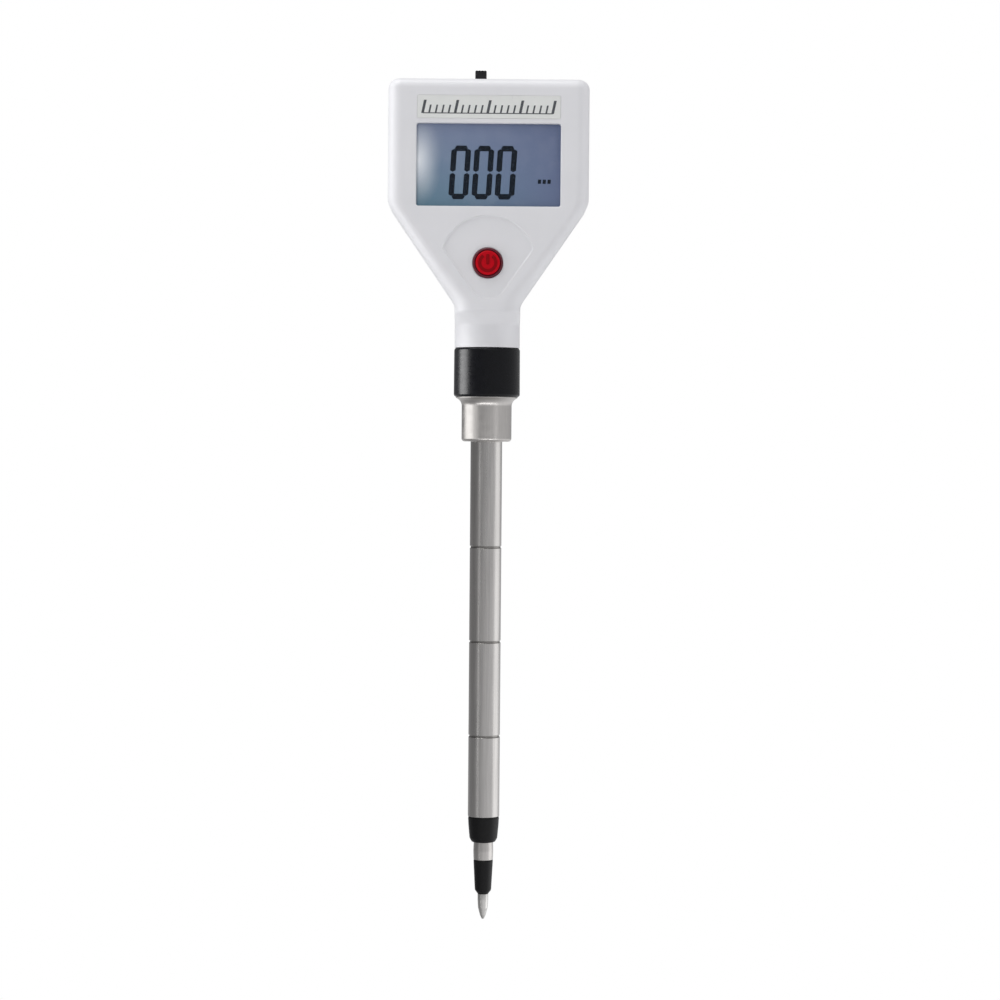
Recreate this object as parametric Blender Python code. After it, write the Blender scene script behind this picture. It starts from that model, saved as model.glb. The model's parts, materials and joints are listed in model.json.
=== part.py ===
"""A hand-held soil conductivity meter: a white two-shell head on a long stainless probe.

Metres, +Z up. The probe's axis is the Z axis, its point is the origin, and the display faces -Y.
Every piece is its own object. Objects named *_cutter or *_adder only shape other objects.
"""

import math

import bmesh
import bpy
from mathutils import Matrix, Vector

# Driving dimensions, in metres.
GAP = 0.0003
WALL = 0.002

HEAD_HALF_WIDTH = 0.0314
HEAD_HALF_DEPTH = 0.014
HEAD_TOP = 0.2649
HEAD_EDGE_RADIUS = 0.0042
HEAD_TOP_FILLET = 0.0032
FUNNEL_START = 0.195
FUNNEL_END = 0.2259
FUNNEL_BLEND = 0.0018
NECK_RADIUS = 0.0103
FUNNEL_SLOPE = (HEAD_HALF_WIDTH - NECK_RADIUS) / (FUNNEL_END - FUNNEL_START)
NECK_BOTTOM = 0.1818
NECK_SWELL = (0.1883, 0.1929)
NECK_EDGE_RADIUS = 0.0059
EDGE_TAPER_TOP = 0.215
SPIGOT_RADIUS = 0.0088
SPIGOT_BOTTOM = 0.1752
SPIGOT_BORE = 0.0068
LIP_OUTSET = 0.0012
LIP_GROOVE = 0.0009
LIP_HEIGHT = 0.001

WINDOW_HALF = (0.02245, 0.01285)
WINDOW_CENTRE_Z = 0.23795
LABEL_HALF = (0.02225, 0.00355)
LABEL_CENTRE_Z = 0.25585
LABEL_RECESS = 0.0005
SHIELD_DEPTH = 0.0004
SHIELD_RADIUS = 0.0148
SHIELD_TOP_CORNER = (0.0142, 0.212)
SHIELD_LOW_CORNER = (0.0032, 0.1966)

BUTTON_Z = 0.2075
BUTTON_RADIUS = 0.0038
BUTTON_HOLE = 0.00475
BUTTON_FRONT = -0.015
KNOB_HALF_WIDTH = 0.0018
KNOB_X = -0.0026
KNOB_TOP = 0.2689
SLOT_HALF = (0.005, 0.0016)

BOARD_Y = (-0.0048, -0.0032)
CELL_RADIUS = 0.00525
CELL_HALF_LENGTH = 0.02225
CELL_Y = 0.00595
CELL_ROWS = (0.2455, 0.2345)
DOOR_HALF_WIDTH = 0.0255
DOOR_Z = (0.2275, 0.2525)
DOOR_INNER_Y = 0.0122
CASE_SCREWS = ((-0.0255, 0.258), (0.0255, 0.258), (-0.0185, 0.217), (0.0185, 0.217))
BOARD_SCREWS = ((-0.012, 0.2105), (0.012, 0.2105))

SLEEVE_Z = (0.166, 0.1815)
SLEEVE_RADII = (0.01045, 0.0104)
SLEEVE_WEB_TOP = 0.1733
FERRULE_Z = (0.1519, 0.1657)
FERRULE_RADIUS = 0.0079
FERRULE_CONE = (0.1636, 0.0098)
FERRULE_BORE = 0.0053
FERRULE_STUB = (0.0065, 0.179)
TUBE_RADIUS = 0.005
TUBE_BORE = 0.004
TUBE_Z = (0.0329, 0.18)
DEPTH_RINGS = (0.0585, 0.0885, 0.1185)
RING_GROOVE = (0.0008, 0.00025)

TIP_TOP = 0.008
LOWER_INSULATOR_TOP = 0.0189
RING_ELECTRODE_TOP = 0.0246
STEM_RADIUS = 0.0007
STEM_TOP = 0.046
CORE_RADII = (0.001, 0.0014)
CORE_TOP = 0.044
RING_STEM_RADII = (0.0017, 0.0023)
RING_STEM_TOP = 0.042
PLUG_RADII = (0.0026, 0.0037)
PLUG_TOP = 0.04
LEAD_RADIUS = 0.0004

ROUND_STEPS = 28
SMALL_ROUND_STEPS = 16
CORNER_STEPS = 5
SMOOTH_BELOW = math.radians(32)


def clear_scene():
    """Removes every object, so that the script can be run again in the same file."""
    for obj in list(bpy.data.objects):
        bpy.data.objects.remove(obj, do_unlink=True)
    for group in list(bpy.data.collections):
        bpy.data.collections.remove(group)


def material(name, colour, roughness, metallic=0.0, alpha=1.0):
    """A Principled BSDF of one colour, made once and then shared."""
    if name in bpy.data.materials:
        return bpy.data.materials[name]
    made = bpy.data.materials.new(name)
    made.use_nodes = True
    shader = made.node_tree.nodes["Principled BSDF"]
    shader.inputs["Base Color"].default_value = (*colour, 1.0)
    shader.inputs["Roughness"].default_value = roughness
    shader.inputs["Metallic"].default_value = metallic
    shader.inputs["Alpha"].default_value = alpha
    made.diffuse_color = (*colour, alpha)
    return made


def white_plastic():
    return material("white_plastic", (0.8, 0.8, 0.82), 0.42)


def black_plastic():
    return material("black_plastic", (0.012, 0.012, 0.014), 0.4)


def grey_plastic():
    return material("grey_plastic", (0.25, 0.26, 0.28), 0.5)


def stainless():
    return material("stainless", (0.56, 0.55, 0.53), 0.28, 1.0)


def nickel():
    return material("nickel", (0.7, 0.68, 0.62), 0.3, 1.0)


def black_rubber():
    return material("black_rubber", (0.02, 0.02, 0.022), 0.75)


def object_from(bm, name, finish):
    """Turns a bmesh into a smooth-shaded object with its normals outward."""
    bmesh.ops.remove_doubles(bm, verts=bm.verts, dist=1e-7)
    bmesh.ops.dissolve_degenerate(bm, edges=bm.edges, dist=1e-7)
    bmesh.ops.recalc_face_normals(bm, faces=bm.faces)
    mesh = bpy.data.meshes.new(name)
    bm.to_mesh(mesh)
    bm.free()
    mesh.shade_smooth()
    mesh.set_sharp_from_angle(angle=SMOOTH_BELOW)
    if finish is not None:
        mesh.materials.append(finish)
    obj = bpy.data.objects.new(name, mesh)
    bpy.context.scene.collection.objects.link(obj)
    return obj


def boolean(obj, operation, *others):
    """Adds one exact Boolean of the other objects, which then only shape this one."""
    modifier = obj.modifiers.new(f"{operation.lower()} {others[0].name}"[:60], "BOOLEAN")
    modifier.operation = operation
    modifier.solver = "EXACT"
    for other in others:
        other.hide_render = True
        other.display_type = "WIRE"
    if len(others) == 1:
        modifier.object = others[0]
        return
    group = bpy.data.collections.new(modifier.name)
    bpy.context.scene.collection.children.link(group)
    for other in others:
        group.objects.link(other)
    modifier.operand_type = "COLLECTION"
    modifier.collection = group


def box(name, low, high, finish=None, bevel=0.0):
    """An axis-aligned block between two corners."""
    bm = bmesh.new()
    size = Vector(high) - Vector(low)
    centre = (Vector(high) + Vector(low)) / 2
    placed = Matrix.Translation(centre) @ Matrix.Diagonal((*size, 1.0))
    bmesh.ops.create_cube(bm, size=1.0, matrix=placed)
    obj = object_from(bm, name, finish)
    if bevel:
        rounding = obj.modifiers.new("edges", "BEVEL")
        rounding.width = bevel
        rounding.segments = 2
    return obj


def turned(name, outline, finish=None, steps=ROUND_STEPS, at=(0, 0, 0), tilt=(0, 0, 0)):
    """A solid of revolution about Z from a closed outline of (radius, height) points."""
    bm = bmesh.new()
    corners = [bm.verts.new((radius, 0.0, height)) for radius, height in outline]
    edges = [
        bm.edges.new((first, second))
        for first, second in zip(corners, corners[1:] + corners[:1])
        if max(first.co.x, second.co.x) > 0
    ]
    bmesh.ops.spin(
        bm, geom=corners + edges, cent=(0, 0, 0), axis=(0, 0, 1), angle=math.tau, steps=steps
    )
    obj = object_from(bm, name, finish)
    obj.location = at
    obj.rotation_euler = tilt
    return obj


def plate(name, outline, front, back, finish=None):
    """A flat piece in the XZ plane: a closed (x, z) outline extruded from front to back in Y."""
    bm = bmesh.new()
    corners = [bm.verts.new((x, front, z)) for x, z in outline]
    face = bm.faces.new(corners)
    pushed = bmesh.ops.extrude_face_region(bm, geom=[face])["geom"]
    moved = [part for part in pushed if isinstance(part, bmesh.types.BMVert)]
    bmesh.ops.translate(bm, verts=moved, vec=(0, back - front, 0))
    return object_from(bm, name, finish)


def rectangle(half, centre_z, corner=0.0, steps=3):
    """A centred (x, z) rectangle, with round corners if a radius is given."""
    points = []
    for turn in range(4):
        start = turn * math.pi / 2
        side_x = 1 if turn in (0, 3) else -1
        side_z = 1 if turn in (0, 1) else -1
        centre = (side_x * (half[0] - corner), centre_z + side_z * (half[1] - corner))
        points += arc(centre, corner, start, start + math.pi / 2, steps) if corner else [centre]
    return points


def arc(centre, radius, start, end, steps):
    """Points along an arc in the plane, both ends included."""
    angles = [start + (end - start) * step / steps for step in range(steps + 1)]
    return [
        (centre[0] + radius * math.cos(angle), centre[1] + radius * math.sin(angle))
        for angle in angles
    ]


def eased(before, corner, after, reach, steps=4):
    """The curve that replaces a corner between two stretches of an outline."""
    corner = Vector(corner)
    start = corner + (Vector(before) - corner).normalized() * reach
    end = corner + (Vector(after) - corner).normalized() * reach
    points = []
    for step in range(steps + 1):
        share = step / steps
        point = (1 - share) ** 2 * start + 2 * share * (1 - share) * corner + share**2 * end
        points.append(tuple(point))
    return points


def ease(low, high, value):
    """0 below low, 1 above high and a smooth S between them."""
    share = min(max((value - low) / (high - low), 0.0), 1.0)
    return share * share * (3 - 2 * share)


def soft_ramp(distance, blend):
    """0 before the bend, the distance after it, joined by a parabola."""
    if distance <= -blend:
        return 0.0
    if distance >= blend:
        return distance
    return (distance + blend) ** 2 / (4 * blend)


def head_section(z, inset):
    """Half width, half depth and corner radius of the head at a height, inset by a distance."""
    spread = soft_ramp(z - FUNNEL_START, FUNNEL_BLEND) - soft_ramp(z - FUNNEL_END, FUNNEL_BLEND)
    swell = ease(*NECK_SWELL, z)
    width = NECK_RADIUS + FUNNEL_SLOPE * spread
    depth = NECK_RADIUS + (HEAD_HALF_DEPTH - NECK_RADIUS) * swell
    edge = NECK_RADIUS + (NECK_EDGE_RADIUS - NECK_RADIUS) * swell
    edge += (HEAD_EDGE_RADIUS - NECK_EDGE_RADIUS) * ease(NECK_SWELL[1], EDGE_TAPER_TOP, z)
    fillet = HEAD_TOP_FILLET - inset
    into_fillet = max(z - (HEAD_TOP - inset - fillet), 0.0)
    inset += fillet - math.sqrt(max(fillet * fillet - into_fillet * into_fillet, 0.0))
    return width - inset, depth - inset, max(edge - inset, 0.0003)


def head_heights(bottom, inset):
    """The heights of the head's cross-sections, closer together where its shape bends."""
    heights = [bottom]
    heights += [NECK_SWELL[0] + (NECK_SWELL[1] - NECK_SWELL[0]) * step / 5 for step in range(6)]
    for bend in (FUNNEL_START, FUNNEL_END):
        heights += [bend + FUNNEL_BLEND * share for share in (-0.9, 0.0, 1.0)]
    heights += [0.205, EDGE_TAPER_TOP]
    fillet = HEAD_TOP_FILLET - inset
    for step in range(CORNER_STEPS + 1):
        angle = math.pi / 2 * step / CORNER_STEPS
        heights.append(HEAD_TOP - inset - fillet * (1 - math.sin(angle)))
    return sorted(set(heights))


def head_solid(name, inset, bottom, finish=None):
    """The head's outer form, or the same form inset, as one closed loft."""
    bm = bmesh.new()
    rings = []
    for z in head_heights(bottom, inset):
        width, depth, edge = head_section(z, inset)
        ring = []
        for turn in range(4):
            side_x = 1 if turn in (0, 3) else -1
            side_y = 1 if turn in (0, 1) else -1
            centre = (side_x * (width - edge), side_y * (depth - edge))
            start = turn * math.pi / 2
            for x, y in arc(centre, edge, start, start + math.pi / 2, CORNER_STEPS):
                ring.append(bm.verts.new((x, y, z)))
        rings.append(ring)
    for lower, upper in zip(rings, rings[1:]):
        for index in range(len(lower)):
            after = (index + 1) % len(lower)
            bm.faces.new((lower[index], lower[after], upper[after], upper[index]))
    bm.faces.new(rings[0][::-1])
    bm.faces.new(rings[-1])
    return object_from(bm, name, finish)


def cylinder_y(name, x, z, radius, front, back, finish=None, steps=SMALL_ROUND_STEPS):
    """A plain cylinder along Y."""
    length = back - front
    outline = [(0, 0), (radius, 0), (radius, length), (0, length)]
    return turned(name, outline, finish, steps, at=(x, front, z), tilt=(-math.pi / 2, 0, 0))


def shield_outline():
    """The shallow recess round the power button: an arc above, sides falling to a blunt point."""
    x_top, z_top = SHIELD_TOP_CORNER
    x_low, z_low = SHIELD_LOW_CORNER
    rise = math.atan2(z_top - BUTTON_Z, x_top)
    crown = arc((0, BUTTON_Z), SHIELD_RADIUS, rise, math.pi - rise, 12)
    right_top = eased((x_low, z_low), crown[0], crown[1], 0.0016)
    left_top = eased(crown[-2], crown[-1], (-x_low, z_low), 0.0016)
    left_low = eased((-x_top, z_top), (-x_low, z_low), (0, z_low), 0.0026)
    right_low = eased((0, z_low), (x_low, z_low), (x_top, z_top), 0.0026)
    return right_top + crown[1:-1] + left_top + left_low + right_low


def half_space(name, front, back):
    """A slab across the whole head between two depths."""
    return box(name, (-0.05, front, 0.16), (0.05, back, 0.28))


def hollow_out(shell, side):
    """Cuts the hollow and the neck's bore, which both shells share."""
    cavity = head_solid(f"{side}_cavity_cutter", WALL, 0.185)
    outline = [(0, 0.17), (SPIGOT_BORE, 0.17), (SPIGOT_BORE, 0.1865), (0, 0.1865)]
    boolean(shell, "DIFFERENCE", cavity, turned(f"{side}_bore_cutter", outline))


def slot_cutter(side):
    low = (-SLOT_HALF[0], -SLOT_HALF[1], HEAD_TOP - 0.004)
    high = (SLOT_HALF[0], SLOT_HALF[1], HEAD_TOP + 0.001)
    return box(f"{side}_slot_cutter", low, high)


def shell_blank(side, front, back):
    """Half of the head's outer form with half of the spigot below the neck, between two depths."""
    shell = head_solid(f"{side}_shell", 0.0, NECK_BOTTOM, white_plastic())
    top = NECK_BOTTOM + 0.001
    outline = [(0, SPIGOT_BOTTOM), (SPIGOT_RADIUS, SPIGOT_BOTTOM), (SPIGOT_RADIUS, top), (0, top)]
    boolean(shell, "UNION", turned(f"{side}_spigot_adder", outline))
    boolean(shell, "INTERSECT", half_space(f"{side}_half_cutter", front, back))
    return shell


def numbered(maker, name, places, *sizes):
    """One cylinder along Y at each of the places."""
    return [maker(f"{name}_{index}", x, z, *sizes) for index, (x, z) in enumerate(places, 1)]


def front_shell():
    """The head's front half, with its lip, bosses, window, label bed and shield recess."""
    shell = shell_blank("front", -0.05, -GAP / 2)
    lip = head_solid("front_lip_adder", LIP_OUTSET, 0.1862)
    boolean(lip, "INTERSECT", half_space("front_lip_half_cutter", -0.011, LIP_HEIGHT))
    boolean(shell, "UNION", lip)
    hollow_out(shell, "front")
    rest = BOARD_Y[0] - GAP
    bosses = numbered(cylinder_y, "front_boss_adder", CASE_SCREWS, 0.0024, -0.0123, -0.0003)
    posts = numbered(cylinder_y, "board_post_adder", BOARD_SCREWS, 0.002, -0.0123, rest)
    boolean(shell, "UNION", *bosses, *posts)
    pilots = numbered(cylinder_y, "front_pilot_cutter", CASE_SCREWS, 0.0012, -0.0085, 0.0005)
    pilots += numbered(cylinder_y, "board_pilot_cutter", BOARD_SCREWS, 0.001, -0.0095, rest + GAP)
    opening = plate("window_cutter", rectangle(WINDOW_HALF, WINDOW_CENTRE_Z, 0.0006), -0.016, -0.0115)
    bed = rectangle([half + GAP for half in LABEL_HALF], LABEL_CENTRE_Z, 0.0004)
    bed_cutter = plate("label_cutter", bed, -0.016, -HEAD_HALF_DEPTH + LABEL_RECESS)
    shield_floor = -HEAD_HALF_DEPTH + SHIELD_DEPTH
    shield_cutter = plate("shield_cutter", shield_outline(), -0.0165, shield_floor)
    hole = cylinder_y("button_hole_cutter", 0, BUTTON_Z, BUTTON_HOLE, -0.017, -0.0115, None, 24)
    cuts = [*pilots, opening, bed_cutter, shield_cutter, hole, slot_cutter("front")]
    boolean(shell, "DIFFERENCE", *cuts)
    return shell


def rear_shell():
    """The head's rear half, with the battery opening and the counterbored screw bosses."""
    shell = shell_blank("rear", GAP / 2, 0.05)
    groove = head_solid("rear_groove_cutter", LIP_GROOVE, 0.1859)
    boolean(groove, "INTERSECT", half_space("rear_groove_half_cutter", -0.01, LIP_HEIGHT + GAP))
    boolean(shell, "DIFFERENCE", groove)
    hollow_out(shell, "rear")
    bosses = numbered(cylinder_y, "rear_boss_adder", CASE_SCREWS, 0.0033, 0.0003, 0.0123)
    boolean(shell, "UNION", *bosses)
    sinks = numbered(cylinder_y, "rear_sink_cutter", CASE_SCREWS, 0.0026, 0.0108, 0.015)
    shanks = numbered(cylinder_y, "rear_shank_cutter", CASE_SCREWS, 0.0012, -0.0005, 0.0115)
    low = (-DOOR_HALF_WIDTH - 0.0004, 0.0115, DOOR_Z[0] - GAP)
    high = (DOOR_HALF_WIDTH + 0.0004, 0.015, DOOR_Z[1] + GAP)
    boolean(shell, "DIFFERENCE", *sinks, *shanks, box("door_cutter", low, high), slot_cutter("rear"))
    return shell


def battery_door():
    """The lid of the battery bay. Its origin is on the edge that it tilts about."""
    hinge = Vector((0, HEAD_HALF_DEPTH, DOOR_Z[0]))
    low = Vector((-DOOR_HALF_WIDTH, DOOR_INNER_Y, DOOR_Z[0])) - hinge
    high = Vector((DOOR_HALF_WIDTH, HEAD_HALF_DEPTH, DOOR_Z[1])) - hinge
    door = box("battery_door", low, high, white_plastic())
    door.location = hinge
    for index, x in enumerate((-0.015, 0.015), 1):
        tab_low = Vector((x - 0.002, 0.0107, DOOR_Z[0] - 0.0013)) - hinge
        tab_high = Vector((x + 0.002, 0.0117, DOOR_Z[0] + 0.003)) - hinge
        tab = box(f"door_tab_{index}_adder", tab_low, tab_high)
        foot_low = Vector((x - 0.002, 0.0112, DOOR_Z[0] + 0.001)) - hinge
        foot_high = Vector((x + 0.002, 0.0128, DOOR_Z[0] + 0.0027)) - hinge
        foot = box(f"door_foot_{index}_adder", foot_low, foot_high)
        for piece in (foot, tab):
            piece.location = hinge
        boolean(door, "UNION", foot)
        boolean(door, "UNION", tab)
    notch = cylinder_y("door_notch_cutter", 0, 0.0205, 0.006, 0.0, 0.003, None, 20)
    notch.location = hinge + Vector((0, -0.0005, 0.0205))
    boolean(door, "DIFFERENCE", notch)
    return door


def display_window():
    """The clear lens: its face fills the opening and its flange is held behind the wall."""
    half = [size - GAP for size in WINDOW_HALF]
    clear = material("clear_plastic", (0.75, 0.8, 0.88), 0.05, 0.0, 0.35)
    lens = plate("display_window", rectangle(half, WINDOW_CENTRE_Z, 0.0004), -0.0136, -0.0112, clear)
    flange = rectangle((0.02425, 0.0142), WINDOW_CENTRE_Z, 0.001)
    boolean(lens, "UNION", plate("window_flange_adder", flange, -0.0117, -0.0107))
    return lens


def display_stack():
    """Behind the lens: the liquid crystal cell, its frame, its light panel and its contact strip."""
    glass = material("display_glass", (0.17, 0.21, 0.3), 0.12)
    cell = rectangle((0.0237, 0.0142), WINDOW_CENTRE_Z)
    plate("lcd_cell", cell, -0.0104, -0.0078, glass)
    frame = plate(
        "lcd_frame", rectangle((0.0252, 0.0157), WINDOW_CENTRE_Z, 0.001), -0.0104, -0.0051,
        grey_plastic(),
    )
    opening = rectangle((0.024, 0.0145), WINDOW_CENTRE_Z, 0.0004)
    boolean(frame, "DIFFERENCE", plate("lcd_frame_cutter", opening, -0.012, -0.004))
    light = material("light_panel", (0.75, 0.8, 0.85), 0.4)
    box("lcd_light_panel", (-0.0232, -0.0075, 0.2243), (0.0232, -0.0051, 0.2484), light)
    strip = material("silicone_strip", (0.32, 0.1, 0.12), 0.6)
    box("lcd_contact_strip", (-0.0225, -0.0075, 0.2491), (0.0225, -0.0051, 0.2515), strip)


def label_strip():
    """The printed strip above the display, in its shallow bed."""
    pale = material("label_film", (0.78, 0.8, 0.78), 0.35)
    outline = rectangle(LABEL_HALF, LABEL_CENTRE_Z, 0.0003)
    front = -HEAD_HALF_DEPTH - 0.00005
    plate("label_strip", outline, front, -HEAD_HALF_DEPTH + LABEL_RECESS - GAP, pale)


def power_button():
    """The red cap and its seal ring. The cap's origin is on the axis that it travels along."""
    red = material("red_plastic", (0.5, 0.008, 0.014), 0.35)
    maroon = material("maroon_rubber", (0.09, 0.008, 0.012), 0.6)
    face = (0, BUTTON_FRONT, BUTTON_Z)
    forward = (-math.pi / 2, 0, 0)
    cap = [(0, 0), (0.0032, 0), (0.0037, 0.00025), (BUTTON_RADIUS, 0.0007)]
    cap += [(BUTTON_RADIUS, 0.0041), (0.0046, 0.0041), (0.0046, 0.0047), (0, 0.0047)]
    turned("button_cap", cap, red, 24, at=face, tilt=forward)
    inner = BUTTON_RADIUS + GAP
    outer = BUTTON_HOLE - GAP
    seal = [(inner, 0.0006), (outer - 0.0001, 0.0006), (outer, 0.0008), (outer, 0.0033)]
    seal += [(0.0058, 0.0033), (0.0058, 0.0038), (inner, 0.0038)]
    turned("button_seal", seal, maroon, 24, at=face, tilt=forward)


def tact_switch():
    """The switch behind the button: a soldered body and the plunger that the cap pushes."""
    low = (-0.003, -0.0086, BUTTON_Z - 0.003)
    high = (0.003, BOARD_Y[0] - GAP, BUTTON_Z + 0.003)
    body = box("tact_switch_body", low, high, grey_plastic())
    well = cylinder_y("tact_well_cutter", 0, BUTTON_Z, 0.002, -0.0095, -0.0064)
    boolean(body, "DIFFERENCE", well)
    plunger = [(0, 0), (0.0015, 0), (0.0017, 0.0002), (0.0017, 0.0024), (0, 0.0024)]
    turned(
        "tact_switch_plunger", plunger, black_plastic(), SMALL_ROUND_STEPS,
        at=(0, -0.01, BUTTON_Z), tilt=(-math.pi / 2, 0, 0),
    )


def slide_switch():
    """The range switch in the head's top: a hollow body and the knob that slides in it."""
    top = HEAD_TOP - WALL - GAP
    body = box("slide_switch_body", (-0.0062, -0.0028, 0.2562), (0.0062, 0.0028, top), nickel())
    well_low = (-0.0047, -0.0017, 0.2575)
    well_high = (0.0047, 0.0017, top + 0.001)
    boolean(body, "DIFFERENCE", box("slide_well_cutter", well_low, well_high))
    low = (-KNOB_HALF_WIDTH, -0.0012, 0.2579 - HEAD_TOP)
    high = (KNOB_HALF_WIDTH, 0.0012, KNOB_TOP - HEAD_TOP)
    knob = box("slide_switch_knob", low, high, black_plastic(), bevel=0.00025)
    knob.location = (KNOB_X, 0, HEAD_TOP)


def board_outline():
    """The circuit board: full width behind the display, narrowing to the button below."""
    right = [(0.0105, 0.202), (0.0152, 0.212), (0.0152, 0.2215), (0.022, 0.2215)]
    right += [(0.0265, 0.226), (0.0265, 0.255)]
    return right + [(-x, z) for x, z in reversed(right)]


def circuit_board():
    green = material("board_green", (0.02, 0.16, 0.07), 0.45)
    board = plate("main_board", board_outline(), *BOARD_Y, green)
    for index, (x, z) in enumerate(BOARD_SCREWS, 1):
        hole = cylinder_y(f"board_hole_{index}_cutter", x, z, 0.001, -0.006, -0.002)
        boolean(board, "DIFFERENCE", hole)
    back = BOARD_Y[1] + GAP
    chip = material("chip_black", (0.02, 0.02, 0.02), 0.5)
    box("controller_chip", (-0.005, back, 0.2285), (0.005, back + 0.0014, 0.2385), chip, 0.0002)
    box("amplifier_chip", (-0.0025, back, 0.2135), (0.0025, back + 0.0014, 0.2175), chip, 0.0002)
    for index, (x, z) in enumerate(BOARD_SCREWS, 1):
        shank = 0.0058
        outline = [(0, -shank), (0.0004, -shank), (0.0007, -shank + 0.0006), (0.0007, 0)]
        outline += [(0.0016, 0), (0.0016, 0.0007), (0.0011, 0.0012), (0, 0.0012)]
        turned(
            f"board_screw_{index}", outline, nickel(), SMALL_ROUND_STEPS,
            at=(x, back, z), tilt=(-math.pi / 2, 0, 0),
        )


def case_screws():
    """Four screws from the rear, in the counterbores of the rear shell."""
    for index, (x, z) in enumerate(CASE_SCREWS, 1):
        outline = [(0, -0.018), (0.0005, -0.018), (0.0009, -0.0168), (0.0009, 0)]
        outline += [(0.0022, 0), (0.0022, 0.0008), (0.0015, 0.0015), (0, 0.0017)]
        screw = turned(
            f"case_screw_{index}", outline, nickel(), SMALL_ROUND_STEPS,
            at=(x, 0.0111, z), tilt=(-math.pi / 2, 0, 0),
        )
        for turn in range(2):
            half = (0.0013, 0.0003) if turn else (0.0003, 0.0013)
            slot = box(f"slot_{index}_{turn}_cutter", (-half[0], -half[1], 0.0009), (*half, 0.003))
            slot.location = screw.location
            slot.rotation_euler = screw.rotation_euler
            boolean(screw, "DIFFERENCE", slot)


def battery_tray():
    """The open tray that holds two small cells side by side."""
    floor = (-0.0006, 0.0004)
    tray = box("battery_tray", (-0.0262, floor[0], 0.2278), (0.0262, 0.0098, 0.2522), black_plastic())
    inside = box("tray_cutter", (-0.0247, floor[1], 0.229), (0.0247, 0.012, 0.251))
    boolean(tray, "DIFFERENCE", inside)


def battery_cells():
    """Two cells end for end, each a can with its contact nub."""
    jacket = material("cell_jacket", (0.05, 0.12, 0.3), 0.35, 0.3)
    nub = 0.0008
    length = 2 * CELL_HALF_LENGTH
    outline = [(0, 0), (0.0046, 0), (CELL_RADIUS, 0.0004), (CELL_RADIUS, length - nub - 0.0004)]
    outline += [(0.0048, length - nub), (0.0019, length - nub), (0.0018, length), (0, length)]
    for index, (z, side) in enumerate(zip(CELL_ROWS, (1, -1)), 1):
        turned(
            f"battery_cell_{index}", outline, jacket, 20,
            at=(-side * CELL_HALF_LENGTH, CELL_Y, z), tilt=(0, side * math.pi / 2, 0),
        )


def contact_spring(name, side, z):
    """A conical coil between the tray's end and a cell's flat end."""
    turns, steps, wire = 3, 12, 0.0003
    start = side * (0.0247 - GAP - wire)
    end = side * (CELL_HALF_LENGTH + GAP + wire)
    points = []
    for step in range(turns * steps + 1):
        share = step / (turns * steps)
        radius = 0.0034 - 0.0016 * share
        angle = math.tau * turns * share
        offset = (radius * math.cos(angle), radius * math.sin(angle))
        points.append((start + (end - start) * share, CELL_Y + offset[0], z + offset[1]))
    wire_object(name, points, wire, nickel(), 1)


def battery_contacts():
    """The plates and springs that join the cells to each other and to the board."""
    plate_x = 0.0247 - GAP
    bridge_low = (plate_x - 0.0004, 0.0022, 0.2422)
    bridge = box("battery_bridge", bridge_low, (plate_x, 0.0097, 0.2488), nickel())
    dimple = [(0, 0), (0.0016, 0), (0.0012, 0.0015), (0, 0.0015)]
    nose = turned(
        "bridge_nose_adder", dimple, None, 12, at=(plate_x - 0.0003, CELL_Y, CELL_ROWS[0]),
        tilt=(0, -math.pi / 2, 0),
    )
    boolean(bridge, "UNION", nose)
    plus_low = (-plate_x, 0.0022, 0.2312)
    plus = box("battery_plus_plate", plus_low, (-plate_x + 0.0004, 0.0097, 0.2378), nickel())
    nose = turned(
        "plus_nose_adder", dimple, None, 12, at=(-plate_x + 0.0003, CELL_Y, CELL_ROWS[1]),
        tilt=(0, math.pi / 2, 0),
    )
    boolean(plus, "UNION", nose)
    contact_spring("battery_bridge_spring", 1, CELL_ROWS[1])
    contact_spring("battery_minus_spring", -1, CELL_ROWS[0])


def coupling_sleeve():
    """The black collar that clamps the neck's spigot over the ferrule's stub."""
    (bottom, top), (low_radius, top_radius) = SLEEVE_Z, SLEEVE_RADII
    edge = 0.0005
    bore = FERRULE_STUB[0] + GAP
    outline = [(bore, bottom), (low_radius - edge, bottom), (low_radius, bottom + edge)]
    outline += [(top_radius, top - edge), (top_radius - edge, top), (SPIGOT_RADIUS + GAP, top)]
    outline += [(SPIGOT_RADIUS + GAP, SLEEVE_WEB_TOP), (bore, SLEEVE_WEB_TOP)]
    turned("coupling_sleeve", outline, black_plastic())
    washer = [(0.0071, SLEEVE_WEB_TOP + GAP), (SPIGOT_RADIUS, SLEEVE_WEB_TOP + GAP)]
    washer += [(SPIGOT_RADIUS, SPIGOT_BOTTOM - GAP), (0.0071, SPIGOT_BOTTOM - GAP)]
    turned("neck_gasket", washer, black_rubber(), 24)


def ferrule():
    """The stainless end fitting that carries the tube, with its conical shoulder."""
    (bottom, top), (cone_start, cone_radius) = FERRULE_Z, FERRULE_CONE
    edge = 0.0009
    outline = [(FERRULE_BORE, bottom), (FERRULE_RADIUS - edge, bottom)]
    outline += arc((FERRULE_RADIUS - edge, bottom + edge), edge, -math.pi / 3, 0, 2)
    outline += [(FERRULE_RADIUS, cone_start), (cone_radius, top), (FERRULE_STUB[0], top)]
    outline += [FERRULE_STUB, (FERRULE_BORE, FERRULE_STUB[1])]
    turned("ferrule", outline, stainless())


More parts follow.
